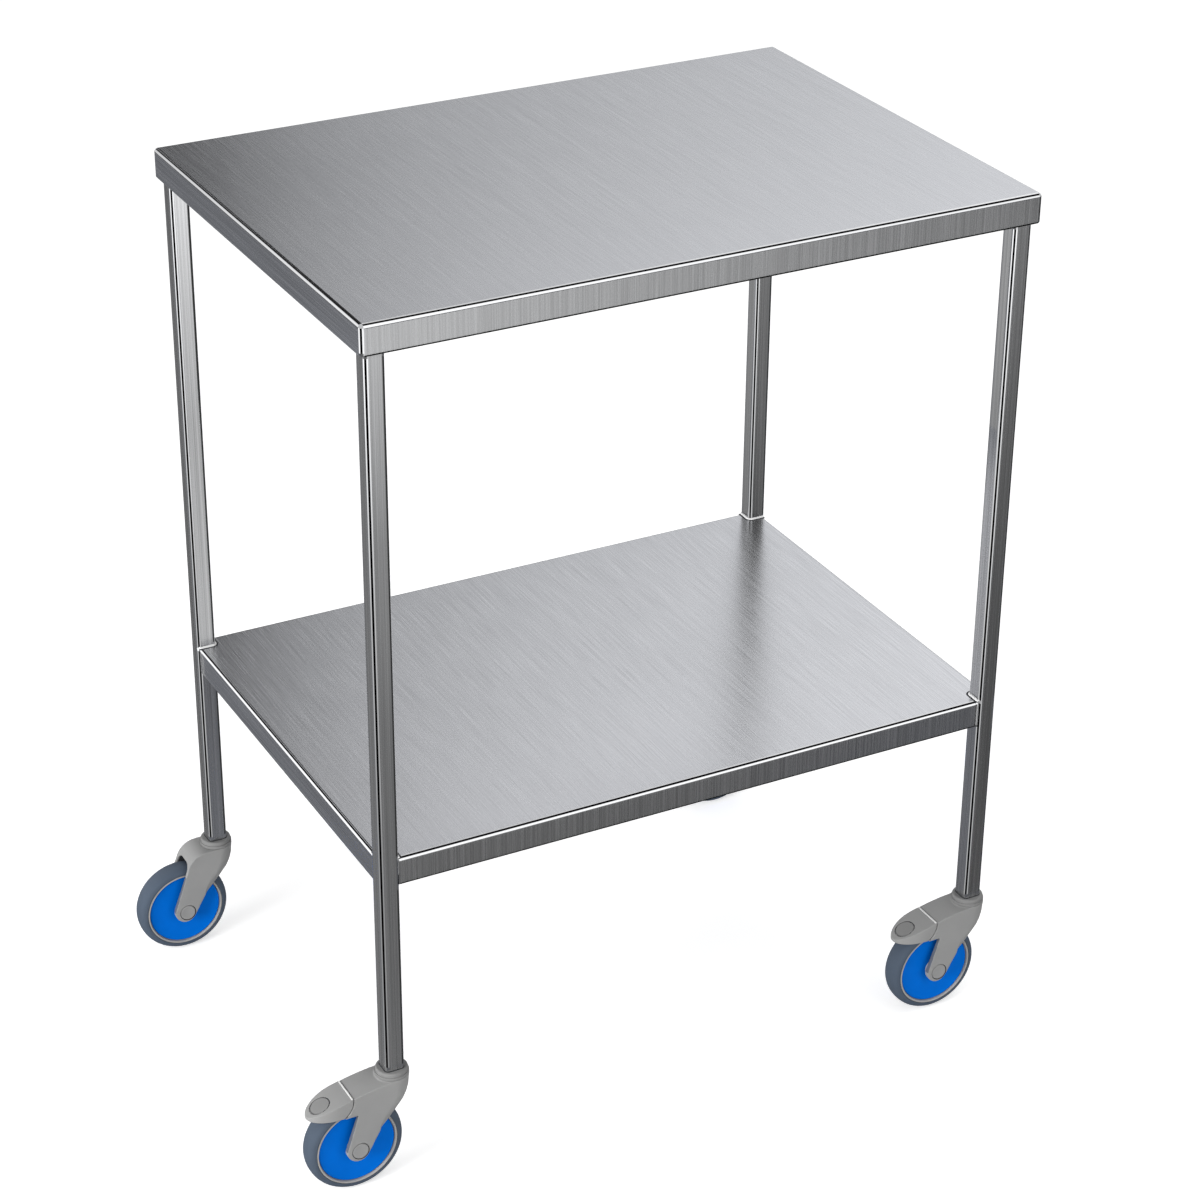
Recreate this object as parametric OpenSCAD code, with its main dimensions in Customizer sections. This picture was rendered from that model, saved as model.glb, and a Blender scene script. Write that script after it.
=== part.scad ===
// Two-tier dressing trolley: a folded sheet worktop and lower shelf on four square
// tube legs, each leg on a swivelling castor, the two front castors with a foot brake.
// X runs along the long side, -Y is the front, Z is up and the floor is Z = 0.
// The castors trail towards -X, and the origin is the centre of the whole footprint.

/* [Worktop] */
// Height of the worktop above the floor
worktop_height = 900; // [800:1:1000]
// Length of the worktop along X
worktop_length = 690; // [500:1:900]
// Depth of the worktop along Y
worktop_depth = 490; // [400:1:600]
// Height of the worktop's folded edge
worktop_edge = 30; // [26:1:45]

/* [Shelf] */
// Height of the lower shelf's top face above the floor
shelf_height = 361; // [260:1:520]
// Height of the shelf's folded edge
shelf_edge = 29.5; // [26:0.5:45]
// How far the shelf's edge lies inside the legs' outer faces
shelf_recess = 1.7; // [0.5:0.1:3]

/* [Sheet metal] */
// Thickness of the sheet
sheet = 1.2; // [0.8:0.1:1.5]
// Outside radius of the folds and of the worktop's corners
fold_radius = 4; // [3:0.5:6]
// Outside radius of the bottom folds
hem_radius = 2; // [1.6:0.1:2.6]
// Width of the return that is folded in below the edge, from the outer face
hem_width = 15; // [12:1:18]
// Width of the stiffener's channel under each sheet
stiffener_width = 40; // [30:1:80]
// Depth of the stiffener's channel
stiffener_depth = 18; // [10:1:20]
// Width of the stiffener's welded flanges
stiffener_flange = 15; // [10:1:30]

/* [Legs] */
// Side of the square leg tube
leg_side = 20; // [20:0.5:24]
// Wall of the leg tube
leg_wall = 1.2; // [1:0.1:1.5]
// Outside corner radius of the leg tube
leg_radius = 4; // [2:0.5:5]
// Distance from the worktop's outer face to the leg's outer face
leg_inset = 5.5; // [4.5:0.5:12]

/* [Castor wheel] */
// Diameter over the tyre
wheel_diameter = 100; // [96:1:104]
// Width of the tyre where it meets the rim
tyre_width = 24; // [22:0.5:26]
// Radius where the tyre sits on the rim
rim_radius = 42.5; // [41:0.5:43]
// Radius of the coloured wheel disc
disc_radius = 40; // [36:0.5:40.5]
// Distance of each disc's face from the wheel's middle plane
disc_offset = 10; // [8:0.5:11]
// Thickness of the wheel disc
disc_thickness = 1.5; // [1:0.1:2.5]
// Radius of the wheel hub
hub_radius = 10.5; // [10:0.1:11]
// Radius of the axle
axle_radius = 4; // [3:0.5:5]
// Outside radius of the wheel's ball bearings
bearing_radius = 9; // [8:0.1:9.2]
// Width of each wheel bearing
bearing_width = 7; // [5:0.5:9]

/* [Castor housing] */
// Distance from the swivel axis back to the axle
trail = 43; // [41:0.5:45]
// Height of the housing's top face above the wheel's top
housing_rise = 17; // [16:0.5:20]
// Radius that rounds the top of the collar
collar_round = 2; // [0.5:0.1:3]
// Half width of the housing at its top
housing_half_width = 17; // [16.8:0.1:18]
// Half width of the fork over its outer faces at the axle
fork_half_width = 20; // [19.5:0.1:21]
// Gap between the tyre's side and the fork
tyre_gap = 2.3; // [1.2:0.1:2.6]
// Gap between the tread and the housing above it
tread_gap = 5.5; // [4:0.5:6]
// Radius of the round end of the fork leg
fork_end_radius = 12; // [11:0.5:13]
// Radius of the axle cap in the fork's face
cap_radius = 8.6; // [7:0.1:9]
// Thickness of the axle cap
cap_thickness = 2.2; // [1.5:0.1:2.6]
// Radius of the upper step of the collar under the leg
collar_radius = 16; // [15:0.1:17]
// Radius of the lower step of the collar
collar_step_radius = 16.8; // [16:0.1:18]
// Height of the collar's lower step
collar_step = 3; // [2:0.5:4]
// Height of the collar's upper step
collar_height = 4.1; // [3:0.1:6]
// How far the castor's socket goes up into the leg
socket_depth = 40; // [30:1:60]
// Radius of the swivel stem
stem_radius = 5; // [4:0.5:6]
// Outside radius of the swivel bearing
swivel_bearing_radius = 11; // [10:0.5:12]
// Height of the swivel bearing
swivel_bearing_height = 10; // [8:0.5:12]

/* [Brake] */
// Angle that the pedal turns down when the brake is on
pedal_travel = 8; // [4:0.5:9]
// Distance of the pedal's round tip from the swivel axis
pedal_reach = 90.5; // [88:0.5:92]
// Half width of the pedal
pedal_half_width = 17.5; // [17.3:0.1:18]
// Depth of the pedal's lower rim below the housing's top face
pedal_drop = 26; // [25:0.5:26.5]
// Radius of the round pressing mark on the pedal
mark_radius = 10.6; // [6:0.1:11]
// Radius of each pedal pivot pin
pedal_pin_radius = 2; // [1.5:0.1:2.2]

/* [Hidden] */

$fn = 64;
// Overshoot of a cutter past the face that it cuts
past = 1;
// Running gap of a shaft in its bore
running_gap = 0.05;
// Gap between parts that move past each other
moving_gap = 0.4;
// Gap round a part that is pushed into its seat
seat_gap = 0.2;
// A corner that runs into an arc lies this far inside it
tuck = 0.1;

wheel_radius = wheel_diameter / 2;
housing_top = wheel_diameter + housing_rise;
pedal_rim = housing_top - pedal_drop;
tyre_half = tyre_width / 2;
slot_half = tyre_half + tyre_gap;
tunnel_radius = wheel_radius + tread_gap;
// Radius between the wheel tunnel's roof and its sides
tunnel_round = 9;

// The legs' axes from the middle of the worktop
leg_x = worktop_length / 2 - leg_inset - leg_side / 2;
leg_y = worktop_depth / 2 - leg_inset - leg_side / 2;
// The left wheels reach further past the worktop than the right castors' heads
left_reach = leg_x + trail + wheel_radius;
right_reach = max(worktop_length / 2, leg_x + max(housing_half_width, collar_step_radius));
centre_shift = (left_reach - right_reach) / 2;
FL = [-leg_x, -leg_y];
FR = [leg_x, -leg_y];
BL = [-leg_x, leg_y];
BR = [leg_x, leg_y];

collar_bottom = housing_top + moving_gap;
leg_bottom = collar_bottom + collar_step + collar_height;
leg_top = worktop_height - sheet;

// The shelf's outer size, set by the legs
shelf_length = worktop_length - 2 * (leg_inset + shelf_recess);
shelf_depth = worktop_depth - 2 * (leg_inset + shelf_recess);

// Head of the stem, in its pocket under the swivel bearing
stem_head_radius = 7.5;
stem_head = 3;
stem_gap = 0.6;
pocket_gap = 1;
bearing_bottom = housing_top - swivel_bearing_height;
stem_head_top = bearing_bottom - stem_gap;
pocket_bottom = stem_head_top - stem_head - pocket_gap;

// The cheeks lean out towards the axle
cheek_lean = atan((fork_half_width - housing_half_width) / (housing_top - wheel_radius));
// The fork leg's round end lies a little in front of the axle and above it
fork_end_ahead = 1.8;
fork_end_rise = 1.3;
fork_end = [-trail - fork_end_ahead, wheel_radius + fork_end_rise];
// Rear edge of the cheeks: it starts below the head and bends above the axle
cheek_start_drop = 23;
cheek_bend_behind = 22;
cheek_bend_rise = 17.4;
cheek_rear = [[0, housing_top - cheek_start_drop],
              [cheek_bend_behind - trail, wheel_radius + cheek_bend_rise]];
// Front of the unbraked hood
hood_radius = 22.5;
hood_behind = 25.7;
hood_centre = [hood_behind - trail, housing_top - hood_radius];
hood_lean = 20.4;
// The head below the collar is bowed in towards its foot: the bow's radius and how far
// its widest place lies above the housing's top
head_depth = 35;
head_bottom = housing_top - head_depth;
braked_bow = 57;
braked_bow_rise = -4;
plain_bow = 250;
plain_bow_rise = 43;
// The plain head would be this much wider where its bow ends
plain_head_spread = 3.1;
// Top of the braked housing falls away from the head along this arc
beam_radius = 221;
beam_start = 5;
notch_ahead = 0.3;
notch_x = -trail - notch_ahead;
// Where the pedal meets the housing
parting_radius = 22.5;
parting_ahead = 27;
parting_drop = 7;
parting_centre = [-trail - parting_ahead, housing_top - parting_drop];

// Top of the pedal, an arc that starts above the wheel
pedal_radius = 145;
pedal_start_ahead = 4;
pedal_start_drop = 6.2;
pedal_start = [-trail - pedal_start_ahead, housing_top - pedal_start_drop];
pedal_slope = 11;
pedal_centre = pedal_start + pedal_radius * [sin(pedal_slope), -cos(pedal_slope)];
pedal_roof = 2.8;
pedal_inner = slot_half + seat_gap;
pedal_wall = 3;
// The pedal's sides are straight up to here, and its oval tip takes up the rest
pedal_straight = 17;
pedal_tip_start = -trail - pedal_straight;
pedal_tip = pedal_reach + pedal_tip_start;
// Round pressing mark: a fine groove square to the pedal's top
mark_inset = 14.7;
mark_x = mark_inset - pedal_reach;
mark_z = pedal_centre[1] + sqrt(pow(pedal_radius, 2) - pow(mark_x - pedal_centre[0], 2));
mark_tilt = asin((pedal_centre[0] - mark_x) / pedal_radius);
mark_depth = 0.6;
mark_line = 0.6;
// Pivot of the pedal, with an ear of the housing inside each wall of the pedal
pivot_ahead = 21;
pivot_drop = 18.5;
pedal_pivot = [-trail - pivot_ahead, housing_top - pivot_drop];
ear_wall = 1.6;
ear_radius = pedal_pin_radius + ear_wall;
ear_inset = 3.3;
ear_inner = slot_half - ear_inset;
ear_gap = 1;
ear_outer = pedal_inner - ear_gap;
ear_root_ahead = 2;
ear_root = -trail - ear_root_ahead;
// The ear's root lies higher than its end by this much
ear_rise = 2;
pin_grip = 1.7;
pin_reach = pedal_inner + pin_grip;
// Return spring: a coil round each pin, inside the ear
spring_wire = 1.1;
spring_length = 4;
pin_inner = ear_inner - spring_length - seat_gap;
// Brake shoe under the pedal's roof, between the pins and as far out as the tip leaves room
shoe_half = pin_inner - moving_gap;
shoe_length = 10;
shoe_share = 0.65;
shoe_front = pedal_tip_start - shoe_share * pedal_tip;

// Room between the caps, which the axle fills
cap_gap = 1;
axle_half = fork_half_width - cap_thickness - cap_gap;

// Wheel
rim_lip = 1.2;
rim_half = disc_offset + rim_lip;
rim_step = 1.5;
rim_wall = disc_radius - rim_step;
web_half = 3;
hub_half = slot_half - 2 * moving_gap;
// Width of the hub's ledge behind each bearing, above the axle
ledge = 1.5;

steel = [0.72, 0.73, 0.74];
bright_steel = [0.8, 0.8, 0.82];
grey_plastic = [0.57, 0.57, 0.57];
light_grey = [0.6, 0.59, 0.57];
blue = [0, 0.4, 0.85];
slate = [0.27, 0.31, 0.36];

// Placing

module on_trolley() translate([centre_shift, 0, 0]) children();

module on_castor(corner) on_trolley() translate([corner[0], corner[1], 0]) children();

module at_axle() translate([-trail, 0, wheel_radius]) children();

// A drawing in the XZ plane, thickened along Y about the middle
module across(width) rotate([90, 0, 0]) linear_extrude(width, center = true) children();

// A drawing of radius and distance, turned about the axle
module about_axle() at_axle() rotate([90, 0, 0]) rotate_extrude() children();

// One copy on each side of the wheel
module both_sides() {
    children();
    mirror([0, 1, 0]) children();
}

// The cheek's outer face at the axle, with Z pointing out of the face
module on_cheek() {
    at_axle() translate([0, -fork_half_width, 0]) rotate([90 - cheek_lean, 0, 0]) children();
}

// Sheet metal

module rounded_square(side, radius) {
    square([side - 2 * radius, side], center = true);
    square([side, side - 2 * radius], center = true);
    for (x = [-1, 1], y = [-1, 1])
        translate([x, y] * (side / 2 - radius)) circle(radius);
}

// What a round corner leaves out of a square one
module corner_waste(radius) {
    difference() {
        translate([-radius, -radius]) square(radius + past);
        translate([-radius, -radius]) circle(radius);
    }
}

// Outline of a folded edge: the outer face is x = 0 and the top is y = 0
module edge_outline(depth, height, top_radius, bottom_radius) {
    difference() {
        translate([-depth, -height]) square([depth, height]);
        corner_waste(top_radius);
        translate([0, -height]) mirror([0, 1]) corner_waste(bottom_radius);
    }
}

module edge_section(height, corner) {
    difference() {
        edge_outline(corner, height, fold_radius, hem_radius);
        translate([-sheet, -sheet])
            edge_outline(corner + past, height - 2 * sheet, fold_radius - sheet,
                         hem_radius - sheet);
    }
}

// A straight folded edge along X, its outer face on y = 0 towards -Y
module straight_edge(run, height) {
    rotate([90, 0, 90]) linear_extrude(run, center = true)
        mirror([1, 0]) edge_section(height, fold_radius);
}

module four_edges(length, depth, length_run, depth_run, height) {
    for (side = [0, 180]) rotate(side) translate([0, -depth / 2, 0]) straight_edge(length_run, height);
    for (side = [90, 270]) rotate(side) translate([0, -length / 2, 0]) straight_edge(depth_run, height);
}

module leg_squares() {
    for (x = [-leg_x, leg_x], y = [-leg_y, leg_y])
        translate([x, y]) square(leg_side, center = true);
}

// The top plate and the returns below the edge, both cut away round the legs where asked
module sheet_faces(length, depth, height, notched_top) {
    inner = 2 * fold_radius;
    translate([0, 0, -sheet]) linear_extrude(sheet) difference() {
        square([length - inner, depth - inner], center = true);
        if (notched_top) leg_squares();
    }
    translate([0, 0, -height]) linear_extrude(sheet) difference() {
        square([length - inner, depth - inner], center = true);
        square([length - 2 * hem_width, depth - 2 * hem_width], center = true);
        leg_squares();
    }
}

module worktop() {
    color(steel) on_trolley() translate([0, 0, worktop_height]) {
        sheet_faces(worktop_length, worktop_depth, worktop_edge, false);
        four_edges(worktop_length, worktop_depth, worktop_length - 2 * fold_radius,
                   worktop_depth - 2 * fold_radius, worktop_edge);
        for (turn = [0, 180]) rotate(turn) {
            worktop_corner(0, [worktop_length / 2, worktop_depth / 2]);
            worktop_corner(90, [-worktop_length / 2, worktop_depth / 2]);
        }
    }
}

module worktop_corner(turn, corner) {
    inward = [corner[0] > 0 ? -fold_radius : fold_radius, -fold_radius];
    translate(corner + inward) rotate(turn) rotate_extrude(angle = 90)
        translate([fold_radius, 0]) edge_section(worktop_edge, fold_radius);
}

module shelf() {
    run_x = worktop_length - 2 * (leg_inset + leg_side);
    run_y = worktop_depth - 2 * (leg_inset + leg_side);
    color(steel) on_trolley() translate([0, 0, shelf_height]) {
        sheet_faces(shelf_length, shelf_depth, shelf_edge, true);
        four_edges(shelf_length, shelf_depth, run_x, run_y, shelf_edge);
    }
}

// A channel with welded flanges, flat under the sheet
module stiffener(length, height) {
    flange_middle = (stiffener_width + stiffener_flange - sheet) / 2;
    color(bright_steel) on_trolley() translate([0, 0, height - sheet]) rotate([90, 0, 90])
        linear_extrude(length, center = true) {
            for (side = [-1, 1]) translate([side * flange_middle, -sheet / 2])
                square([stiffener_flange + sheet, sheet], center = true);
            difference() {
                translate([-stiffener_width / 2, -stiffener_depth])
                    square([stiffener_width, stiffener_depth]);
                translate([-stiffener_width / 2 + sheet, sheet - stiffener_depth])
                    square([stiffener_width - 2 * sheet, stiffener_depth]);
            }
        }
}

module worktop_stiffener() stiffener(worktop_length - 2 * hem_width, worktop_height);

module shelf_stiffener() stiffener(shelf_length - 2 * hem_width, shelf_height);

module leg(corner) {
    color(steel) on_castor(corner) translate([0, 0, leg_bottom]) linear_extrude(leg_top - leg_bottom)
        difference() {
            rounded_square(leg_side, leg_radius);
            rounded_square(leg_side - 2 * leg_wall, leg_radius - leg_wall);
        }
}

// Castor, fixed to the leg

// A disc with its top edge rounded
module rounded_disc(radius, height, round) {
    rotate_extrude() {
        square([radius, height - round]);
        square([radius - round, height]);
        translate([radius - round, height - round]) intersection() {
            circle(round);
            square(round);
        }
    }
}

module socket(corner) {
    plug_side = leg_side - 2 * (leg_wall + seat_gap / 2);
    plug_radius = leg_radius - leg_wall;
    color(grey_plastic) on_castor(corner) difference() {
        union() {
            translate([0, 0, collar_bottom]) cylinder(r = collar_step_radius, h = collar_step);
            translate([0, 0, collar_bottom + collar_step])
                rounded_disc(collar_radius, collar_height, collar_round);
            translate([0, 0, leg_bottom - past]) linear_extrude(socket_depth + past)
                rounded_square(plug_side, plug_radius);
        }
        translate([0, 0, collar_bottom - past])
            cylinder(r = stem_radius, h = collar_step + collar_height + socket_depth + 2 * past);
    }
}

module stem(corner) {
    color(bright_steel) on_castor(corner) {
        translate([0, 0, stem_head_top - stem_head]) cylinder(r = stem_head_radius, h = stem_head);
        translate([0, 0, stem_head_top - past])
            cylinder(r = stem_radius, h = leg_bottom + socket_depth - stem_head_top + past);
    }
}

// Castor, turning about the stem

module swivel_bearing(corner) {
    color(bright_steel) on_castor(corner) translate([0, 0, bearing_bottom]) difference() {
        cylinder(r = swivel_bearing_radius, h = swivel_bearing_height);
        translate([0, 0, -past])
            cylinder(r = stem_radius + running_gap, h = swivel_bearing_height + 2 * past);
    }
}

// Where a line from a point touches a circle, on one side or the other
function tangent_point(from, centre, radius, side) =
    let (step = from - centre, reach = norm(step), turn = side * acos(radius / reach))
    centre + radius / reach * [step[0] * cos(turn) - step[1] * sin(turn),
                               step[0] * sin(turn) + step[1] * cos(turn)];

// Side view of the fork leg below the point where its front edge starts
module fork_leg(front) {
    polygon([front, [cheek_rear[0][0], housing_top], cheek_rear[0], cheek_rear[1],
             tangent_point(cheek_rear[1], fork_end, fork_end_radius - tuck, -1),
             fork_end,
             tangent_point(front, fork_end, fork_end_radius - tuck, 1)]);
    translate(fork_end) circle(fork_end_radius);
}

// Side view of the unbraked housing, with its hood over the wheel
module hood_side() {
    fork_leg(hood_centre + (hood_radius - tuck) * [-cos(hood_lean), sin(hood_lean)]);
    translate(hood_centre) square([-hood_centre[0], hood_radius]);
    intersection() {
        translate(hood_centre) circle(hood_radius);
        translate(hood_centre - [2 * hood_radius, 0]) square(2 * hood_radius);
    }
}

// Side view of the braked housing, with its beam out to the pedal
module beam_side() {
    fork_leg([notch_x, pedal_rim]);
    difference() {
        translate([-pedal_reach, pedal_rim]) square([pedal_reach, housing_top - pedal_rim]);
        translate(parting_centre) circle(parting_radius + moving_gap);
        translate([-2 * pedal_reach, 0]) square([2 * pedal_reach + parting_centre[0], housing_top + past]);
        difference() {
            translate([-pedal_reach, pedal_rim]) square([pedal_reach, housing_top]);
            translate([beam_start, housing_top - beam_radius]) circle(beam_radius, $fn = 360);
        }
    }
}

// Round head below the collar, bowed in towards its foot
module head(reach, bow, bow_rise) {
    rotate_extrude() intersection() {
        translate([0, head_bottom]) square([housing_half_width, head_depth]);
        translate([0, housing_top + bow_rise]) {
            translate([reach - bow, 0]) circle(bow, $fn = 360);
            square([reach, past + abs(bow_rise)]);
        }
    }
}

// The cheeks' lean, as a section across the castor
module cheek_limits() {
    low = fork_end[1] - fork_end_radius - past;
    lean_out = tan(cheek_lean);
    top = housing_half_width;
    bottom = housing_half_width + (housing_top - low) * lean_out;
    length = 2 * pedal_reach + 2 * housing_half_width;
    rotate([90, 0, 90]) linear_extrude(length, center = true)
        polygon([[-top, housing_top], [top, housing_top], [bottom, low], [-bottom, low]]);
}

// Room for the wheel: flat sides and a crowned roof
module wheel_tunnel() {
    flat_half = slot_half - tunnel_round;
    flat_radius = tunnel_radius - tunnel_round;
    about_axle() intersection() {
        translate([0, -slot_half]) square([tunnel_radius, 2 * slot_half]);
        union() {
            translate([0, -slot_half]) square([flat_radius, 2 * slot_half]);
            translate([0, -flat_half]) square([tunnel_radius, 2 * flat_half]);
            for (side = [-1, 1]) translate([flat_radius, side * flat_half]) circle(tunnel_round);
        }
    }
}

// Ear of the housing that carries the pedal's pin, inside the pedal's wall
module ear_side() {
    translate(pedal_pivot) circle(ear_radius);
    polygon([pedal_pivot + [0, ear_radius], [ear_root, pedal_pivot[1] + ear_radius + ear_rise],
             [ear_root, pedal_pivot[1] - ear_radius + ear_rise], pedal_pivot - [0, ear_radius]]);
}

// A drawing in the XZ plane, thickened from one distance off the middle to another
module aside(from, to) translate([0, -(from + to) / 2, 0]) across(to - from) children();

// Each ear, with a root that joins it to its cheek clear of the pedal
module ears() {
    both_sides() {
        aside(ear_inner, ear_outer) ear_side();
        aside(ear_inner, slot_half + seat_gap) difference() {
            ear_side();
            translate(parting_centre) circle(parting_radius + moving_gap);
        }
    }
}

module housing(corner, braked) {
    color(grey_plastic) on_castor(corner) difference() {
        union() {
            difference() {
                union() {
                    intersection() {
                        across(3 * fork_half_width) {
                            if (braked) beam_side();
                            if (!braked) hood_side();
                        }
                        cheek_limits();
                    }
                    if (braked) head(housing_half_width, braked_bow, braked_bow_rise);
                    if (!braked) head(housing_half_width + plain_head_spread, plain_bow, plain_bow_rise);
                }
                wheel_tunnel();
            }
            if (braked) ears();
        }
        translate([0, 0, bearing_bottom])
            cylinder(r = swivel_bearing_radius, h = swivel_bearing_height + past);
        translate([0, 0, pocket_bottom])
            cylinder(r = stem_head_radius + stem_gap, h = bearing_bottom - pocket_bottom + past);
        at_axle() rotate([90, 0, 0]) cylinder(r = axle_radius, h = 3 * fork_half_width, center = true);
        both_sides() on_cheek() translate([0, 0, -cap_thickness])
            cylinder(r = cap_radius + moving_gap, h = cap_thickness + past);
        if (braked) both_sides() pin_shape();
    }
}

module axle(corner) {
    color(bright_steel) on_castor(corner) at_axle() rotate([90, 0, 0])
        cylinder(r = axle_radius, h = 2 * axle_half, center = true);
}

module axle_caps(corner) {
    color(grey_plastic) on_castor(corner) both_sides() on_cheek()
        translate([0, 0, -cap_thickness]) cylinder(r = cap_radius, h = cap_thickness);
}

// Wheel

// The tread's round section runs through its crown and both edges of the rim's seat
module tyre(corner) {
    crown = wheel_radius - rim_radius;
    arc_radius = (crown * crown + tyre_half * tyre_half) / (2 * crown);
    color(slate) on_castor(corner) about_axle() difference() {
        translate([wheel_radius - arc_radius, 0]) circle(arc_radius, $fn = 96);
        translate([0, -wheel_radius]) square([rim_radius, 2 * wheel_radius]);
    }
}

module wheel_centre(corner) {
    color(light_grey) on_castor(corner) about_axle() difference() {
        union() {
            translate([rim_wall, -rim_half]) square([rim_radius - rim_wall, 2 * rim_half]);
            translate([hub_radius - past, -web_half]) square([rim_radius - hub_radius, 2 * web_half]);
            translate([0, -hub_half]) square([hub_radius, 2 * hub_half]);
        }
        for (side = [0, 1]) mirror([0, side]) {
            translate([hub_radius, disc_offset - disc_thickness])
                square([disc_radius - hub_radius, rim_half]);
            translate([0, hub_half - bearing_width]) square([bearing_radius, bearing_width + past]);
        }
        translate([0, -wheel_radius]) square([axle_radius + ledge, 2 * wheel_radius]);
    }
}

module wheel_discs(corner) {
    color(blue) on_castor(corner) about_axle() for (side = [0, 1]) mirror([0, side])
        translate([hub_radius, disc_offset - disc_thickness])
            square([disc_radius - seat_gap - hub_radius, disc_thickness]);
}

module wheel_bearings(corner) {
    bore = axle_radius + running_gap;
    color(bright_steel) on_castor(corner) about_axle() for (side = [0, 1]) mirror([0, side])
        translate([bore, hub_half - bearing_width])
            square([bearing_radius - bore, bearing_width + moving_gap]);
}

// Brake

module at_pivot() translate([pedal_pivot[0], 0, pedal_pivot[1]]) children();

// One pin, from the inner end of its spring to its blind hole in the pedal's wall
module pin_shape() {
    at_pivot() rotate([90, 0, 0]) translate([0, 0, pin_inner])
        cylinder(r = pedal_pin_radius, h = pin_reach - pin_inner);
}

module pedal_pins(corner) {
    color(bright_steel) on_castor(corner) both_sides() pin_shape();
}

// Side view of the space under an arc that is drop below the pedal's top
module under_top(drop) {
    intersection() {
        translate(pedal_centre) circle(pedal_radius - drop, $fn = 360);
        translate([-2 * pedal_reach, pedal_rim - past]) square([2 * pedal_reach, housing_top]);
    }
}

module pedal_side() {
    intersection() {
        under_top(0);
        translate([-2 * pedal_reach, pedal_rim]) square([2 * pedal_reach, housing_top]);
        union() {
            translate(parting_centre) circle(parting_radius);
            translate([-2 * pedal_reach, 0])
                square([2 * pedal_reach + parting_centre[0], housing_top]);
        }
    }
}

// Plan of the pedal: straight sides, then an oval tip
module pedal_plan(inset) {
    half = pedal_half_width - inset;
    tip = pedal_tip - inset;
    turns = [90 : 5 : 270];
    oval = [for (turn = turns) [pedal_tip_start + tip * cos(turn), half * sin(turn)]];
    polygon(concat([[0, -half], [0, half]], oval));
}

module pedal(corner) {
    color(grey_plastic) on_castor(corner) difference() {
        intersection() {
            across(3 * pedal_half_width) pedal_side();
            translate([0, 0, pedal_rim - past]) linear_extrude(housing_top) pedal_plan(0);
        }
        intersection() {
            across(2 * pedal_inner) under_top(pedal_roof);
            translate([0, 0, pedal_rim - 2 * past]) linear_extrude(housing_top) pedal_plan(pedal_wall);
        }
        translate([mark_x, 0, mark_z]) rotate([0, -mark_tilt, 0]) translate([0, 0, -mark_depth])
            difference() {
                cylinder(r = mark_radius, h = mark_depth + past);
                translate([0, 0, -past])
                    cylinder(r = mark_radius - mark_line, h = mark_depth + 3 * past);
            }
        both_sides() at_pivot() rotate([90, 0, 0]) translate([0, 0, ear_inner])
            cylinder(r = pedal_pin_radius + running_gap, h = pin_reach - ear_inner + seat_gap);
    }
}

// The shoe clears the tread by the moving gap when the pedal is down
module brake_shoe(corner) {
    color(slate) on_castor(corner) difference() {
        across(2 * shoe_half) intersection() {
            under_top(pedal_roof);
            translate([shoe_front, 0]) square([shoe_length, housing_top]);
        }
        at_pivot() rotate([0, pedal_travel, 0]) translate([-pedal_pivot[0], 0, -pedal_pivot[1]])
            at_axle() rotate([90, 0, 0])
                cylinder(r = wheel_radius + moving_gap, h = 4 * shoe_half, center = true);
    }
}

module brake_spring(corner) {
    bore = pedal_pin_radius + running_gap;
    color(bright_steel) on_castor(corner) both_sides() at_pivot() rotate([90, 0, 0])
        translate([0, 0, ear_inner - spring_length]) difference() {
            cylinder(r = bore + spring_wire, h = spring_length);
            translate([0, 0, -past]) cylinder(r = bore, h = spring_length + 2 * past);
        }
}

worktop();
worktop_stiffener();
shelf();
shelf_stiffener();
leg(FL);  // leg_fl
leg(FR);  // leg_fr
leg(BL);  // leg_bl
leg(BR);  // leg_br
socket(FL);  // socket_fl
socket(FR);  // socket_fr
socket(BL);  // socket_bl
socket(BR);  // socket_br
stem(FL);  // stem_fl
stem(FR);  // stem_fr
stem(BL);  // stem_bl
stem(BR);  // stem_br
swivel_bearing(FL);  // swivel_bearing_fl
swivel_bearing(FR);  // swivel_bearing_fr
swivel_bearing(BL);  // swivel_bearing_bl
swivel_bearing(BR);  // swivel_bearing_br
housing(FL, true);  // housing_fl
housing(FR, true);  // housing_fr
housing(BL, false);  // housing_bl
housing(BR, false);  // housing_br
axle(FL);  // axle_fl
axle(FR);  // axle_fr
axle(BL);  // axle_bl
axle(BR);  // axle_br
axle_caps(FL);  // axle_caps_fl
axle_caps(FR);  // axle_caps_fr
axle_caps(BL);  // axle_caps_bl
axle_caps(BR);  // axle_caps_br
tyre(FL);  // tyre_fl
tyre(FR);  // tyre_fr
tyre(BL);  // tyre_bl
tyre(BR);  // tyre_br
wheel_centre(FL);  // wheel_centre_fl
wheel_centre(FR);  // wheel_centre_fr
wheel_centre(BL);  // wheel_centre_bl
wheel_centre(BR);  // wheel_centre_br
wheel_discs(FL);  // wheel_discs_fl
wheel_discs(FR);  // wheel_discs_fr
wheel_discs(BL);  // wheel_discs_bl
wheel_discs(BR);  // wheel_discs_br
wheel_bearings(FL);  // wheel_bearings_fl
wheel_bearings(FR);  // wheel_bearings_fr
wheel_bearings(BL);  // wheel_bearings_bl
wheel_bearings(BR);  // wheel_bearings_br
pedal(FL);  // pedal_fl
pedal(FR);  // pedal_fr
pedal_pins(FL);  // pedal_pins_fl
pedal_pins(FR);  // pedal_pins_fr
brake_shoe(FL);  // brake_shoe_fl
brake_shoe(FR);  // brake_shoe_fr
brake_spring(FL);  // brake_spring_fl
brake_spring(FR);  // brake_spring_fr
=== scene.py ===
"""Looks of a two-tier dressing trolley: brushed sheet worktop and shelf on four square tube
legs, each on a grey castor with a blue wheel. Metres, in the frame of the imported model."""

import math

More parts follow.
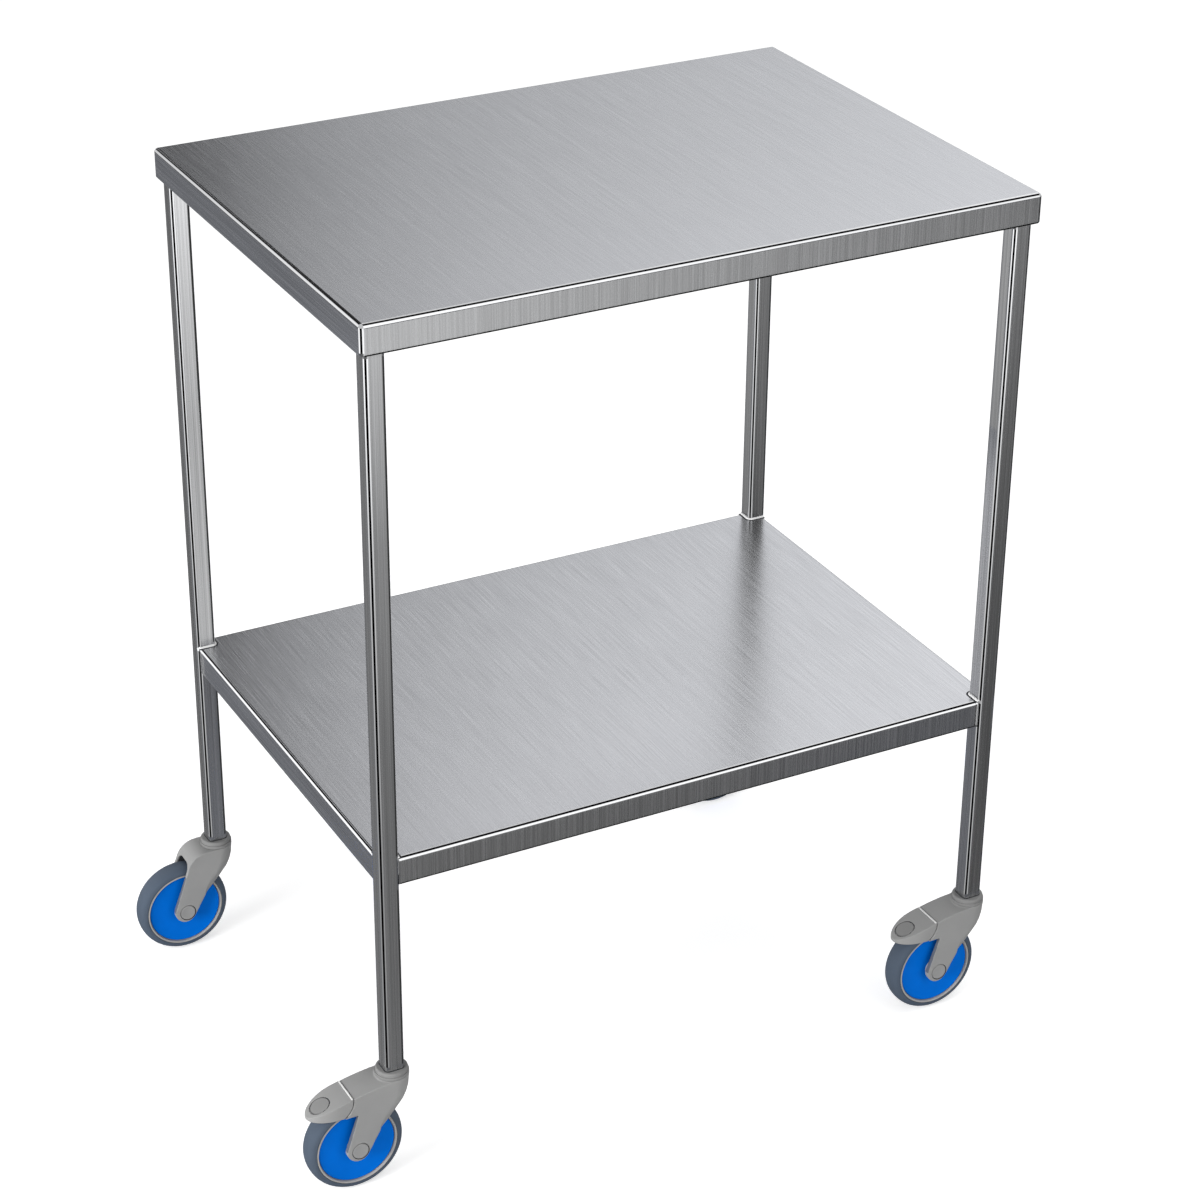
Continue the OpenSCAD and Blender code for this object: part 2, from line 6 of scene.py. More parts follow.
import bpy
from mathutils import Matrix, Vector


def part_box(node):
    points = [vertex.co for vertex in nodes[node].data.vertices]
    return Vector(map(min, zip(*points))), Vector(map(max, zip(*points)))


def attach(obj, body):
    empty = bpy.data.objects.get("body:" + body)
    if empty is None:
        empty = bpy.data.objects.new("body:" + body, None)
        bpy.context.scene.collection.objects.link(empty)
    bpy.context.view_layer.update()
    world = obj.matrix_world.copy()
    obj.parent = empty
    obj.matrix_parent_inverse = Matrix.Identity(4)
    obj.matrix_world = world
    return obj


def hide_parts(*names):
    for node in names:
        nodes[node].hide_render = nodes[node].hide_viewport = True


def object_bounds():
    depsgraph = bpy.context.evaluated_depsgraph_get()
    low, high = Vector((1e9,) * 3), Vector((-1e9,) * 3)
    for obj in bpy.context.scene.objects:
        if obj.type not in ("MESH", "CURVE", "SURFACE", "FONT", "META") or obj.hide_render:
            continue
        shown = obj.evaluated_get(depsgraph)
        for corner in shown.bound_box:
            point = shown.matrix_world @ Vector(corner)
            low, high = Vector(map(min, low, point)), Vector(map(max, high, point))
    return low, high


MM = 0.001
UP, FORWARD, LEFTWARD = Vector((0, 0, 1)), Vector((0, -1, 0)), Vector((-1, 0, 0))
CORNERS = ("fl", "fr", "bl", "br")
BRAKED = ("fl", "fr")

# The castor's sizes, in millimetres from its swivel axis and from the floor
TRAIL = 43
AXLE_HEIGHT = 50
AXLE = (-TRAIL, 0, AXLE_HEIGHT)
ACROSS = (0, 1, 0)
HOUSING_TOP = 117
# Half the housing's width at its top and at the axle, and a little more than its greatest half width
CHEEK_TOP_HALF = 17
CHEEK_AXLE_HALF = 20
BLANK_HALF = 21
CHEEK_LEAN = math.atan2(CHEEK_AXLE_HALF - CHEEK_TOP_HALF, HOUSING_TOP - AXLE_HEIGHT)
# The room for the wheel: half its width, its radius and the round of its shoulders
SLOT_HALF = 14.3
TUNNEL_RADIUS = 55.5
TUNNEL_ROUND = 8.6
# The holes for the axle and its caps, and the seat of the swivel bearing
AXLE_HOLE_RADIUS = 4.05
CAP_SEAT_RADIUS = 9
CAP_SEAT_DEPTH = 4.4
BEARING_SEAT_RADIUS = 11
BEARING_SEAT_DEPTH = 10
# A cutter that goes right through is this long
THROUGH = 60

# Side view of the housing, as X and Z: the fork's round end, then up the back of the cheek
FORK_END = (-44.8, 51.3)
FORK_END_RADIUS = 12
CHEEK_BACK = [(-21.2, 67.3), (-19.4, 74), (-16.5, 80), (-12.5, 86), (-6.5, 92), (-3, 98), (-0.8, 105),
              (0, 112)]
# The long housing's beam has a slightly domed top and a hollow end, which fits round the pedal
BEAM_CROWN_X = 5
BEAM_RADIUS = 221
NOTCH_X = -43.3
# The short housing's hood
HOOD_CENTRE = (-17.3, 94.5)
HOOD_RADIUS = 22.5
# The round head: height, how far back its middle lies and its radius
HEAD_LEVELS = [(112, -0.7, 17.1), (105, -1.7, 17.45), (98, -4.1, 17.8), (92, -7.5, 18.1), (86, -12.9, 18.4),
               (80, -18.2, 18.65), (74, -23.6, 18.9), (68, -29.9, 19.1), (62, -34.4, 19.3), (57, -38.8, 19.4)]
# The edge above the wheel's opening, the way in from it as X and Z, and how deep its lip is, which keeps the
# plain grey before the painted shade inside begins
OPENING_EDGE = (-38.4, 102.3)
WAY_IN = (0.936, -0.351)
LIP_DEPTH = 2.2
# Painted shade darkens the fork's front edges between these heights
DARK_EDGE_LOW = 52
DARK_EDGE_HIGH = 93

# The pedal: the arc where it parts from the beam, its lower rim, its domed top and its walls
PARTING_CENTRE = (-70, 110)
PARTING_RADIUS = 22.5
PARTING_GAP = 0.7
PEDAL_RIM = 91
PEDAL_CENTRE = (-19.33, -31.54)
PEDAL_RADIUS = 145
PEDAL_HALF = 17.5
PEDAL_WALL = 3
PEDAL_ROOF = 2.8
# Its plan is straight at the back, and its tip is half an oval
PLAN_BACK = -20
OVAL_X = -60
OVAL_REACH = 30.5
# The round pressing mark lies inside a groove
MARK_X = -75.8
GROOVE_INNER = 9.6
GROOVE_OUTER = 10.15
# The lip along the pedal's back edge; its pale finish is a painted highlight
LIP_X, LIP_Z = -48.3, 110.6
LIP_RADIUS = 0.95

# The legs' section, their feet and the shelf's top, in millimetres
LEG_HALF = 10
LEG_ROUND = 4
FOOT_TOP = 124.5
SHELF_TOP = 361
# How far the bead and its dark line stand out round a leg, how high they are, and how deep they sink in. The
# bead's
# # pale finish is a painted highlight, and the line's dark finish is painted shade
BEAD_WIDTH, BEAD_HEIGHT = 1.7, 1.6
LINE_WIDTH, LINE_HEIGHT = 3.6, 0.12
RING_SINK = 0.5
# A dark ring of painted shade at the foot of a leg, where it stands in its collar
FOOT_LINE_WIDTH = 0.45
FOOT_LINE_LOW, FOOT_LINE_HIGH = -0.4, 0.55

# The camera's place in metres, its turn and drop in degrees, its lens and its shift
CAMERA_PLACE = Vector((-1.24757, -2.44943, 1.91515))
CAMERA_TURN = 26.96522
CAMERA_DROP = 28.08438
CAMERA_LENS = 92.973
CAMERA_SHIFT = (0.03953, 0.00118)

# Levels of the backdrop: for the camera, for polished faces, and as light
BACKDROP_SEEN = 1.0
BACKDROP_MIRRORED = 0.76
BACKDROP_LIGHT = 0.52
# What the floor adds to its own light where it is seen
FLOOR_LIFT = 0.52
# Levels that the steel mirrors, as (metres, grey): away from the floor's pale pools, across it, and along the
# wall. Then the pools' middles, as X and Y, and where the levels across begin, as X
FLOOR_FRONT = [(0, 1.5), (0.37, 1.13), (0.57, 0.82), (0.9, 0.54), (1.25, 0.325), (1.5, 0.2), (1.8, 0.13),
               (2.6, 0.12)]
FLOOR_ACROSS = [(0, 1.3), (0.24, 1.3), (0.5, 1.06), (0.7, 0.98), (1.02, 0.72), (1.4, 0.78), (1.7, 0.88),
                (2.1, 0.98)]
FLOOR_LEFT = [(0, 0.58), (0.12, 0.48), (0.25, 0.25), (0.5, 0.20), (1.4, 0.19), (2.2, 0.12)]
WALL_LOW = [(1.9, 0.05), (2.3, 0.21), (2.7, 0.33), (3.0, 0.42), (3.9, 0.54), (4.7, 0.61), (5.7, 0.74),
            (8, 0.88)]
WALL_HIGH = [(2.0, 0.16), (2.4, 0.42), (3.2, 0.73), (4.4, 0.98), (5.4, 1.10), (8, 1.12)]
POOL_FRONT, POOL_LEFT = (0.5, -2.5), (-0.78, 1.34)
ACROSS_START = -0.3
# The wall behind: its distance, its left end and the heights between which its three bands lie, in metres
WALL_Y = 7.2
WALL_LEFT = 1.2
WALL_HEIGHTS = (0, 4.45, 5.7, 8.5)
# Upright cards beside it: from which bearing to which, in degrees, how far off in metres, and their grey.
# They stand between these climbs, in degrees
UPRIGHT_CARDS = [("dark_post", 0, 17, 6, 0.05), ("left_wall", -60, 0, 7, 0.74)]
CARD_LOW, CARD_HIGH = -4, 50

# The radius of the folds and of the tubes' edges, and of the hems, and how near to them the strips and the
# cards before the legs' faces are, in millimetres
FOLD_RADIUS, HEM_RADIUS = 4, 2
STRIP_NEAR, FACE_CARD_NEAR = 3, 15
# Strips beside the sheets' folds: the part of the rounding that shows the strip at its first end and at its
# last, in degrees, and its greys
WORKTOP_FRONT = [((6, 20), (6, 26), (0.9, 1.35)),
                 ((23, 47), (29, 55), (0.0, 0.0)),
                 ((50, 79), (58, 78), (1.6, 1.4))]
WORKTOP_LEFT = [((18, 41), (21, 43), (0.02, 0.05)),
                ((47, 74), (47, 75), (1.25, 0.9))]
SHELF_FRONT = [((6, 18), (6, 20), (0.9, 1.15)),
               ((21, 47), (23, 50), (0.0, 0.0)),
               ((52, 78), (54, 78), (1.6, 1.6))]
SHELF_LEFT = [((20, 42), (20, 42), (0.0, 0.0)),
              ((45, 74), (45, 74), (1.6, 1.5))]
HEM_FRONT = [((0, 64), (0, 64), (0.0, 0.0))]
# Strips beside the upright edges: bands of pale, dark and pale at the left one and a dark band at the right
# one, in degrees, and greys from the lower end up
WORKTOP_BANDS = [(13, 36), (38, 63), (66, 84)]
NEAR_LEG_BANDS = [(14, 36), (38, 64), (67, 83)]
LEG_BANDS = [(19, 36), (38, 63), (66, 81)]
RIGHT_BAND = (12, 42)
WORKTOP_PALE = (1.5, 1.5)
NEAR_LEG_PALE = (0.42, 0.45, 0.75, 1.6)
LEG_PALE = (0.6, 0.8, 1.05, 1.6)
RIGHT_DARK = (0.04, 0.04)
# Heights in metres between which a leg has strips, and those beside the shelf where it has none on its right
STRIPS_LOW, STRIPS_HIGH = 0.13, 0.866
SHELF_GAP = (0.328, 0.365)
# Cards before the legs' faces: leg, the face's look, from and to which height, and greys from bottom to top
FACE_CARDS = [
    ("fl", FORWARD, 0.13, 0.87, (0.20, 0.20, 0.23, 0.34, 0.66)),
    ("fl", LEFTWARD, 0.13, 0.87, (0.22, 0.22)),
    ("fr", FORWARD, 0.13, 0.87, (0.11, 0.11, 0.125, 0.16, 0.24)),
    ("fr", LEFTWARD, 0.66, 0.87, (0.35, 0.42, 0.46)),
    ("bl", FORWARD, 0.364, 0.87, (0.65, 0.65, 0.61, 0.78, 1.06)),
    ("bl", LEFTWARD, 0.13, 0.87, (0.18, 0.18)),
    ("br", FORWARD, 0.364, 0.68, (0.14, 0.26)),
    ("br", LEFTWARD, 0.364, 0.68, (0.25, 0.34)),
]

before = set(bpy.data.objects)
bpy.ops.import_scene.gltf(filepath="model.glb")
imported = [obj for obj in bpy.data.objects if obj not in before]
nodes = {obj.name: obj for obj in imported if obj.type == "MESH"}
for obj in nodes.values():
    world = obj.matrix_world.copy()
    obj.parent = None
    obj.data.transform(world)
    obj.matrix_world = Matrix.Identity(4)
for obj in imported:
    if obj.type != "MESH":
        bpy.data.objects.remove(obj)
cad_low, cad_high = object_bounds()


# Modelling helpers


def select_none():
    bpy.ops.object.select_all(action="DESELECT")


def take(piece):
    """Makes a piece the only selected and the active object."""
    select_none()
    piece.select_set(True)
    bpy.context.view_layer.objects.active = piece


def begin_edit(piece, kind="VERT"):
    take(piece)
    bpy.ops.object.mode_set(mode="EDIT")
    bpy.ops.mesh.select_mode(type=kind)


def end_edit():
    bpy.ops.object.mode_set(mode="OBJECT")


def pick_vertices(piece, wanted):
    """Selects the vertices whose place passes the test, and goes into edit mode."""
    begin_edit(piece, "VERT")
    bpy.ops.mesh.select_all(action="DESELECT")
    end_edit()
    for vertex in piece.data.vertices:
        vertex.select = wanted(vertex.co)
    bpy.ops.object.mode_set(mode="EDIT")


def pick_edges(piece, wanted):
    """Selects the edges whose two ends pass the test, and goes into edit mode."""
    begin_edit(piece, "EDGE")
    bpy.ops.mesh.select_all(action="DESELECT")
    end_edit()
    points = piece.data.vertices
    for edge in piece.data.edges:
        edge.select = wanted(points[edge.vertices[0]].co, points[edge.vertices[1]].co)
    bpy.ops.object.mode_set(mode="EDIT")


def round_edges(piece, wanted, radius, segments):
    """Rounds the edges whose two ends pass the test, by a radius in millimetres."""
    pick_edges(piece, wanted)
    bpy.ops.mesh.bevel(offset=radius * MM, segments=segments, profile=0.5, affect="EDGES")
    end_edit()


def level_across(one, other):
    """Whether an edge lies square to Y, as the rims of a bar along Y do."""
    return abs(one.y - other.y) < 0.01 * MM


def close_up(piece):
    """Merges doubles and turns all faces outwards."""
    begin_edit(piece)
    bpy.ops.mesh.select_all(action="SELECT")
    bpy.ops.mesh.remove_doubles(threshold=0.01 * MM)
    bpy.ops.mesh.normals_make_consistent(inside=False)
    end_edit()


def settle(piece):
    """Puts the piece's place, turn and size into its mesh."""
    take(piece)
    bpy.ops.object.transform_apply(location=True, rotation=True, scale=True)


def add_modifier(piece, kind, **values):
    modifier = piece.modifiers.new(kind.title(), kind)
    for name, value in values.items():
        setattr(modifier, name, value)
    take(piece)
    bpy.ops.object.modifier_apply(modifier=modifier.name)


def cut(piece, tool, operation="DIFFERENCE"):
    """Combines a tool with the piece, and takes the tool away."""
    add_modifier(piece, "BOOLEAN", object=tool, operation=operation, solver="EXACT")
    bpy.data.objects.remove(tool)


def join_pieces(name, pieces):
    """Makes one piece of several."""
    select_none()
    for piece in pieces:
        piece.select_set(True)
    bpy.context.view_layer.objects.active = pieces[0]
    bpy.ops.object.join()
    joined = bpy.context.active_object
    joined.name = joined.data.name = name
    return joined


def smooth_faces(piece, angle):
    take(piece)
    bpy.ops.object.shade_smooth_by_angle(angle=math.radians(angle))


def flat_outline(name, places, fill="NGON"):
    """An outline through the places: a round blank whose points are pulled to them."""
    select_none()
    bpy.ops.mesh.primitive_circle_add(vertices=len(places), fill_type=fill)
    piece = bpy.context.active_object
    piece.name = piece.data.name = name
    for vertex, place in zip(piece.data.vertices, places):
        vertex.co = place
    return piece


def drawn_out(piece, way):
    """Makes a closed block of a flat face, along the way given in millimetres."""
    begin_edit(piece, "FACE")
    bpy.ops.mesh.select_all(action="SELECT")
    bpy.ops.mesh.extrude_region_move(TRANSFORM_OT_translate={"value": tuple(step * MM for step in way)})
    end_edit()
    close_up(piece)
    return piece


def side_board(name, outline, half_width):
    """A board cut to a side view in X and Z, as thick as the width across Y."""
    board = flat_outline(name, [(x * MM, -half_width * MM, z * MM) for x, z in outline])
    return drawn_out(board, (0, 2 * half_width, 0))


def plan_block(name, outline, low, high):
    """A block cut to a plan in X and Y, from one height to another."""
    block = flat_outline(name, [(x * MM, y * MM, low * MM) for x, y in outline])
    return drawn_out(block, (0, 0, high - low))


def turned(name, section, centre, axis, steps):
    """A closed section of (radius, distance along the axis) spun about the axis, which is Y or Z."""
    along = Vector(axis)
    outward = Vector((1, 0, 0))
    middle = Vector(centre) * MM
    places = [middle + outward * radius * MM + along * distance * MM for radius, distance in section]
    piece = flat_outline(name, places, "NOTHING")
    begin_edit(piece)
    bpy.ops.mesh.select_all(action="SELECT")
    bpy.ops.mesh.spin(steps=steps, angle=math.tau, center=middle, axis=along)
    end_edit()
    close_up(piece)
    return piece


def drum(name, radius, depth, centre, axis="Z", sides=96):
    """A round bar along Y or Z, about its centre."""
    turn = (math.pi / 2, 0, 0) if axis == "Y" else (0, 0, 0)
    select_none()
    bpy.ops.mesh.primitive_cylinder_add(vertices=sides, radius=radius * MM, depth=depth * MM,
                                        location=Vector(centre) * MM, rotation=turn)
    piece = bpy.context.active_object
    piece.name = piece.data.name = name
    settle(piece)
    return piece


def put(piece, place, turn):
    """Turns a piece and moves it to a place in millimetres."""
    piece.rotation_euler = turn
    piece.location = Vector(place) * MM
    settle(piece)
    return piece


def arc(centre, radius, start, end, steps):
    """Points on an arc, from one angle to another in degrees."""
    angles = [math.radians(start + (end - start) * i / steps) for i in range(steps + 1)]
    return [(centre[0] + radius * math.cos(a), centre[1] + radius * math.sin(a)) for a in angles]


def soften(piece, grain, rounds):
    """Gives a moulded piece an even skin, and rubs its edges soft."""
    add_modifier(piece, "REMESH", mode="VOXEL", voxel_size=grain * MM, use_smooth_shade=True)
    add_modifier(piece, "SMOOTH", factor=0.5, iterations=rounds)


# Materials


def finish_nodes(name):
    material = bpy.data.materials.new(name)
    material.use_nodes = True
    tree = material.node_tree
    return material, tree, tree.nodes["Principled BSDF"]


def add_node(tree, kind, **values):
    node = tree.nodes.new(kind)
    for name, value in values.items():
        setattr(node, name, value)
    return node


def feed(tree, socket, value):
    """Gives an input a number, or links it to an output."""
    if isinstance(value, (int, float)):
        socket.default_value = value
    else:
        tree.links.new(value, socket)


def grain_noise(tree, scale, detail):
    """Noise on Object coordinates, stretched along the axes where its scale is small."""
    place = add_node(tree, "ShaderNodeTexCoord")
    stretch = add_node(tree, "ShaderNodeMapping")
    stretch.inputs["Scale"].default_value = scale
    noise = add_node(tree, "ShaderNodeTexNoise")
    noise.inputs["Scale"].default_value = 1
    noise.inputs["Detail"].default_value = detail
    noise.inputs["Roughness"].default_value = 0.6
    tree.links.new(place.outputs["Object"], stretch.inputs["Vector"])
    tree.links.new(stretch.outputs["Vector"], noise.inputs["Vector"])
    return noise.outputs["Fac"]


def spread(tree, noise, low, high):
    """Maps the part of a noise that occurs often onto the range from low to high."""
    node = add_node(tree, "ShaderNodeMapRange")
    for name, value in (("From Min", 0.3), ("From Max", 0.7), ("To Min", low), ("To Max", high)):
        node.inputs[name].default_value = value
    tree.links.new(noise, node.inputs["Value"])
    return node.outputs["Result"]


def tint(tree, source, dark, light):
    """Mixes two colours by a factor."""
    node = add_node(tree, "ShaderNodeMix", data_type="RGBA")
    node.inputs[6].default_value = (*dark, 1)
    node.inputs[7].default_value = (*light, 1)
    tree.links.new(source, node.inputs[0])
    return node.outputs[2]


def relief(tree, source, strength, depth):
    """Turns a height into a bump. Its depth is in millimetres."""
    node = add_node(tree, "ShaderNodeBump")
    node.inputs["Strength"].default_value = strength
    node.inputs["Distance"].default_value = depth * MM
    tree.links.new(source, node.inputs["Height"])
    return node.outputs["Normal"]


def measure(tree, kind, one, other=0.0):
    """A sum on one or two values; the second is a number or an output."""
    node = add_node(tree, "ShaderNodeMath", operation=kind)
    tree.links.new(one, node.inputs[0])
    feed(tree, node.inputs[1], other)
    return node.outputs[0]


def product(tree, one, other):
    return measure(tree, "MULTIPLY", one, other)


def facing(tree):
    """How far each face looks along X, Y and Z, from 0 to 1."""
    shape = add_node(tree, "ShaderNodeNewGeometry")
    parts = add_node(tree, "ShaderNodeSeparateXYZ")
    tree.links.new(shape.outputs["Normal"], parts.inputs[0])
    return [measure(tree, "ABSOLUTE", parts.outputs[axis]) for axis in ("X", "Y", "Z")]


def choose(tree, factor, low, high):
    """Mixes two values by a factor; each value is a number or an output."""
    mix = add_node(tree, "ShaderNodeMix", data_type="FLOAT")
    tree.links.new(factor, mix.inputs[0])
    feed(tree, mix.inputs[2], low)
    feed(tree, mix.inputs[3], high)
    return mix.outputs[0]


def brush_marks(tree, scale):
    """Fine lines, and broader streaks among them."""
    broader = tuple(0.3 * size for size in scale)
    return grain_noise(tree, scale, 2), grain_noise(tree, broader, 2)


def brushed_steel(name, colour, across, ends, top_contrast, side_contrast):
    """Steel with brush lines. On most faces they cross X, and on faces that look along X they cross Z. across
    and ends are the noise scales there, and the contrasts are those of level faces and of upright ones. The
    rounded folds, which look along no axis, are smooth and polished."""
    material, tree, shader = finish_nodes(name)
    look_x, look_y, look_z = facing(tree)
    lines, streaks = brush_marks(tree, across)
    if ends:
        sideways = measure(tree, "GREATER_THAN", look_x, 0.7)
        end_lines, end_streaks = brush_marks(tree, ends)
        lines = choose(tree, sideways, lines, end_lines)
        streaks = choose(tree, sideways, streaks, end_streaks)
    upright = measure(tree, "LESS_THAN", look_z, 0.7)
    straight = measure(tree, "MAXIMUM", measure(tree, "MAXIMUM", look_x, look_y), look_z)
    fold = measure(tree, "LESS_THAN", straight, 0.995)
    contrast = choose(tree, fold, choose(tree, upright, top_contrast, side_contrast), 0.1)
    marks = measure(tree, "ADD", product(tree, lines, 0.85), product(tree, streaks, 0.15))
    swing = product(tree, measure(tree, "SUBTRACT", marks, 0.5), contrast)
    shade = measure(tree, "ADD", product(tree, swing, 3.0), 0.5)
    dark = tuple(0.8 * channel for channel in colour)
    light = tuple(1.2 * channel for channel in colour)
    tree.links.new(tint(tree, shade, dark, light), shader.inputs["Base Color"])
    cloud = grain_noise(tree, (3, 3, 3), 2)
    brushed = measure(tree, "ADD", spread(tree, lines, 0.22, 0.30), spread(tree, cloud, -0.02, 0.02))
    tree.links.new(choose(tree, fold, brushed, 0.06), shader.inputs["Roughness"])
    tree.links.new(relief(tree, lines, 0.03, 0.01), shader.inputs["Normal"])
    shader.inputs["Metallic"].default_value = 1
    return material


def moulded_plastic(name, colour, roughness, grain=1800, specular=0.35):
    """Matt moulded plastic with a fine spark texture and faint clouds."""
    material, tree, shader = finish_nodes(name)
    cloud = grain_noise(tree, (18, 18, 18), 3)
    texture = grain_noise(tree, (grain, grain, grain), 2)
    dark = tuple(0.95 * channel for channel in colour)
    light = tuple(1.05 * channel for channel in colour)
    tree.links.new(tint(tree, spread(tree, cloud, 0, 1), dark, light), shader.inputs["Base Color"])
    tree.links.new(spread(tree, texture, roughness - 0.05, roughness + 0.05), shader.inputs["Roughness"])
    tree.links.new(relief(tree, texture, 0.10, 0.05), shader.inputs["Normal"])
    shader.inputs["Specular IOR Level"].default_value = specular
    return material


STEEL = (0.66, 0.665, 0.675)
finishes = {
    "sheet": brushed_steel("brushed_sheet", STEEL, (1000, 14, 6), (6, 6, 1000), 0.26, 1.1),
    "shelf": brushed_steel("brushed_shelf", STEEL, (1000, 14, 6), (6, 6, 1000), 0.70, 1.1),
    "tube": brushed_steel("brushed_tube", STEEL, (900, 900, 3), None, 0.35, 1.2),
    # The bead's near-white finish is a painted highlight
    "bead": moulded_plastic("pale_bead_painted_highlight", (0.92, 0.92, 0.92), 0.35),
    "bare": brushed_steel("plain_steel", (0.62, 0.625, 0.635), (900, 900, 900), None, 0.35, 0.3),
    "grey": moulded_plastic("grey_nylon", (0.300, 0.300, 0.298), 0.52),
    "collar": moulded_plastic("collar_nylon", (0.238, 0.238, 0.237), 0.52),
    # The pedal lip's pale finish is a painted highlight
    "lip": moulded_plastic("pale_lip_painted_highlight", (0.66, 0.66, 0.655), 0.30),
    # A painted shade for the fork's front edges
    "edge": moulded_plastic("fork_edge_painted_shade", (0.125, 0.133, 0.150), 0.52),
    # Painted shade: a near-black finish for the wheel's room, the cap seats, the pedal's groove and the dark
    # rings round the legs
    "shade": moulded_plastic("painted_shade_nylon", (0.045, 0.047, 0.052), 0.70),
    "ring": moulded_plastic("light_rim", (0.40, 0.385, 0.365), 0.45),
    "blue": moulded_plastic("blue_disc", (0.0, 0.148, 0.655), 0.45, specular=0.02),
    "tyre": moulded_plastic("slate_rubber", (0.071, 0.094, 0.130), 0.58, 900),
    "shoe": moulded_plastic("dark_rubber", (0.030, 0.032, 0.036), 0.7, 900),
}


def dress(piece, *looks):
    """Gives a piece its finishes; all its faces take the first one."""
    piece.data.materials.clear()
    for look in looks:
        piece.data.materials.append(finishes[look])


def dress_node(name, look):
    """A better material in each of a CAD node's slots."""
    piece = nodes[name]
    if not piece.material_slots:
        piece.data.materials.append(finishes[look])
    for slot in piece.material_slots:
        slot.material = finishes[look]


# The castor's pieces, modelled about the swivel axis of one castor


def round_head():
    """The bulb under the collar: a disc drawn down level by level towards the fork."""
    thickness = 1
    head = drum("head_blank", CHEEK_TOP_HALF, thickness, (0, 0, HOUSING_TOP - thickness / 2), sides=72)
    middle, radius, height = 0, CHEEK_TOP_HALF, HOUSING_TOP - thickness
    pick_vertices(head, lambda co: co.z < (HOUSING_TOP - 0.9 * thickness) * MM)
    for level, next_middle, next_radius in HEAD_LEVELS:
        bpy.ops.mesh.extrude_region_move(TRANSFORM_OT_translate={
            "value": ((next_middle - middle) * MM, 0, (level - height) * MM)})
        ratio = next_radius / radius
        bpy.ops.transform.resize(value=(ratio, ratio, 1), center_override=(next_middle * MM, 0, level * MM))
        middle, radius, height = next_middle, next_radius, level
    end_edit()
    close_up(head)
    return head


def lean_cheeks(piece):
    """Planes off both sides, so that the cheeks lean out towards the axle."""
    for side in (-1, 1):
        begin_edit(piece)
        bpy.ops.mesh.select_all(action="SELECT")
        bpy.ops.mesh.bisect(plane_co=(0, side * CHEEK_TOP_HALF * MM, HOUSING_TOP * MM),
                            plane_no=(0, side * math.cos(CHEEK_LEAN), math.sin(CHEEK_LEAN)),
                            use_fill=True, clear_outer=True)
        end_edit()
    close_up(piece)


def wheel_room():
    """The cutter for the wheel: a drum with broad round shoulders."""
    room = drum("wheel_room", TUNNEL_RADIUS, 2 * SLOT_HALF, AXLE, "Y", 128)
    round_edges(room, level_across, TUNNEL_ROUND, 8)
    return room


def on_cheek(piece, side):
    """Puts a piece on the leaning cheek at the axle, square to it."""
    return put(piece, (-TRAIL, side * CHEEK_AXLE_HALF, AXLE_HEIGHT), (side * CHEEK_LEAN, 0, 0))


def housing(name, outline):
    """A castor's moulded housing: a board with leaning cheeks and a round head, cut out for the wheel."""
    body = side_board(name, outline, BLANK_HALF)
    lean_cheeks(body)
    cut(body, round_head(), "UNION")
    cut(body, wheel_room())
    cut(body, drum("axle_hole", AXLE_HOLE_RADIUS, THROUGH, AXLE, "Y", 48))
    cut(body, drum("bearing_seat", BEARING_SEAT_RADIUS, 2 * BEARING_SEAT_DEPTH, (0, 0, HOUSING_TOP),
                   sides=64))
    soften(body, 0.6, 5)
    for side in (-1, 1):
        seat = drum("cap_seat", CAP_SEAT_RADIUS, CAP_SEAT_DEPTH, (0, 0, 0), "Y", 64)
        cut(body, on_cheek(seat, side))
    smooth_faces(body, 45)
    return body


def in_housing(middle, look):
    """Which finish a face of the housing takes: the second, a painted shade, round the wheel behind the lip
    of its opening and in the cap seats, and the third, a painted shade too, on the fork's front edges."""
    reach = math.hypot(middle.x + TRAIL, middle.z - AXLE_HEIGHT)
    depth = (middle.x - OPENING_EDGE[0]) * WAY_IN[0] + (middle.z - OPENING_EDGE[1]) * WAY_IN[1]
    on_tunnel = reach < TUNNEL_RADIUS + 0.4 and abs(middle.y) < SLOT_HALF + 0.2
    # The wheel's room behind the lip and the cap seats take painted shade
    if on_tunnel and depth > LIP_DEPTH or reach < CAP_SEAT_RADIUS + 0.02:
        return 1
    # Faces that look towards -X between these heights take the painted shade of the fork's front edges
    return 2 if look.x < -0.6 and DARK_EDGE_LOW < middle.z < DARK_EDGE_HIGH else 0


def housings():
    """The long housing of a braked castor and the short one of a plain castor."""
    beam_top = arc((BEAM_CROWN_X, HOUSING_TOP - BEAM_RADIUS), BEAM_RADIUS, 91.3, 103.55, 14)
    parting = arc(PARTING_CENTRE, PARTING_RADIUS + PARTING_GAP, 4, -56, 10)
    below = arc(FORK_END, FORK_END_RADIUS, 178, 330, 20)
    braked = [(0, HOUSING_TOP), *beam_top, *parting, (NOTCH_X, PEDAL_RIM), *below, *CHEEK_BACK]
    hood = arc(HOOD_CENTRE, HOOD_RADIUS, 90, 159.6, 14)
    hood_below = arc(FORK_END, FORK_END_RADIUS, 164, 330, 20)
    plain = [(0, HOUSING_TOP), *hood, *hood_below, *CHEEK_BACK]
    return housing("housing_braked", braked), housing("housing_plain", plain)


def tyre():
    """A smooth tyre: a full round tread on the rim's seat."""
    half, seat, crown, fullness, steps = 12, 42.5, 7.5, 2.3, 24
    tread = []
    for i in range(steps + 1):
        turn = math.pi * i / steps
        across = -half * math.copysign(abs(math.cos(turn)) ** (2 / fullness), math.cos(turn))
        rise = crown * math.sin(turn) ** (2 / fullness)
        tread.append((seat + rise, across))
    section = tread + [(seat - 0.3, half - 0.5), (seat - 0.3, -half + 0.5)]
    piece = turned("tyre", section, AXLE, ACROSS, 128)
    smooth_faces(piece, 50)
    return piece


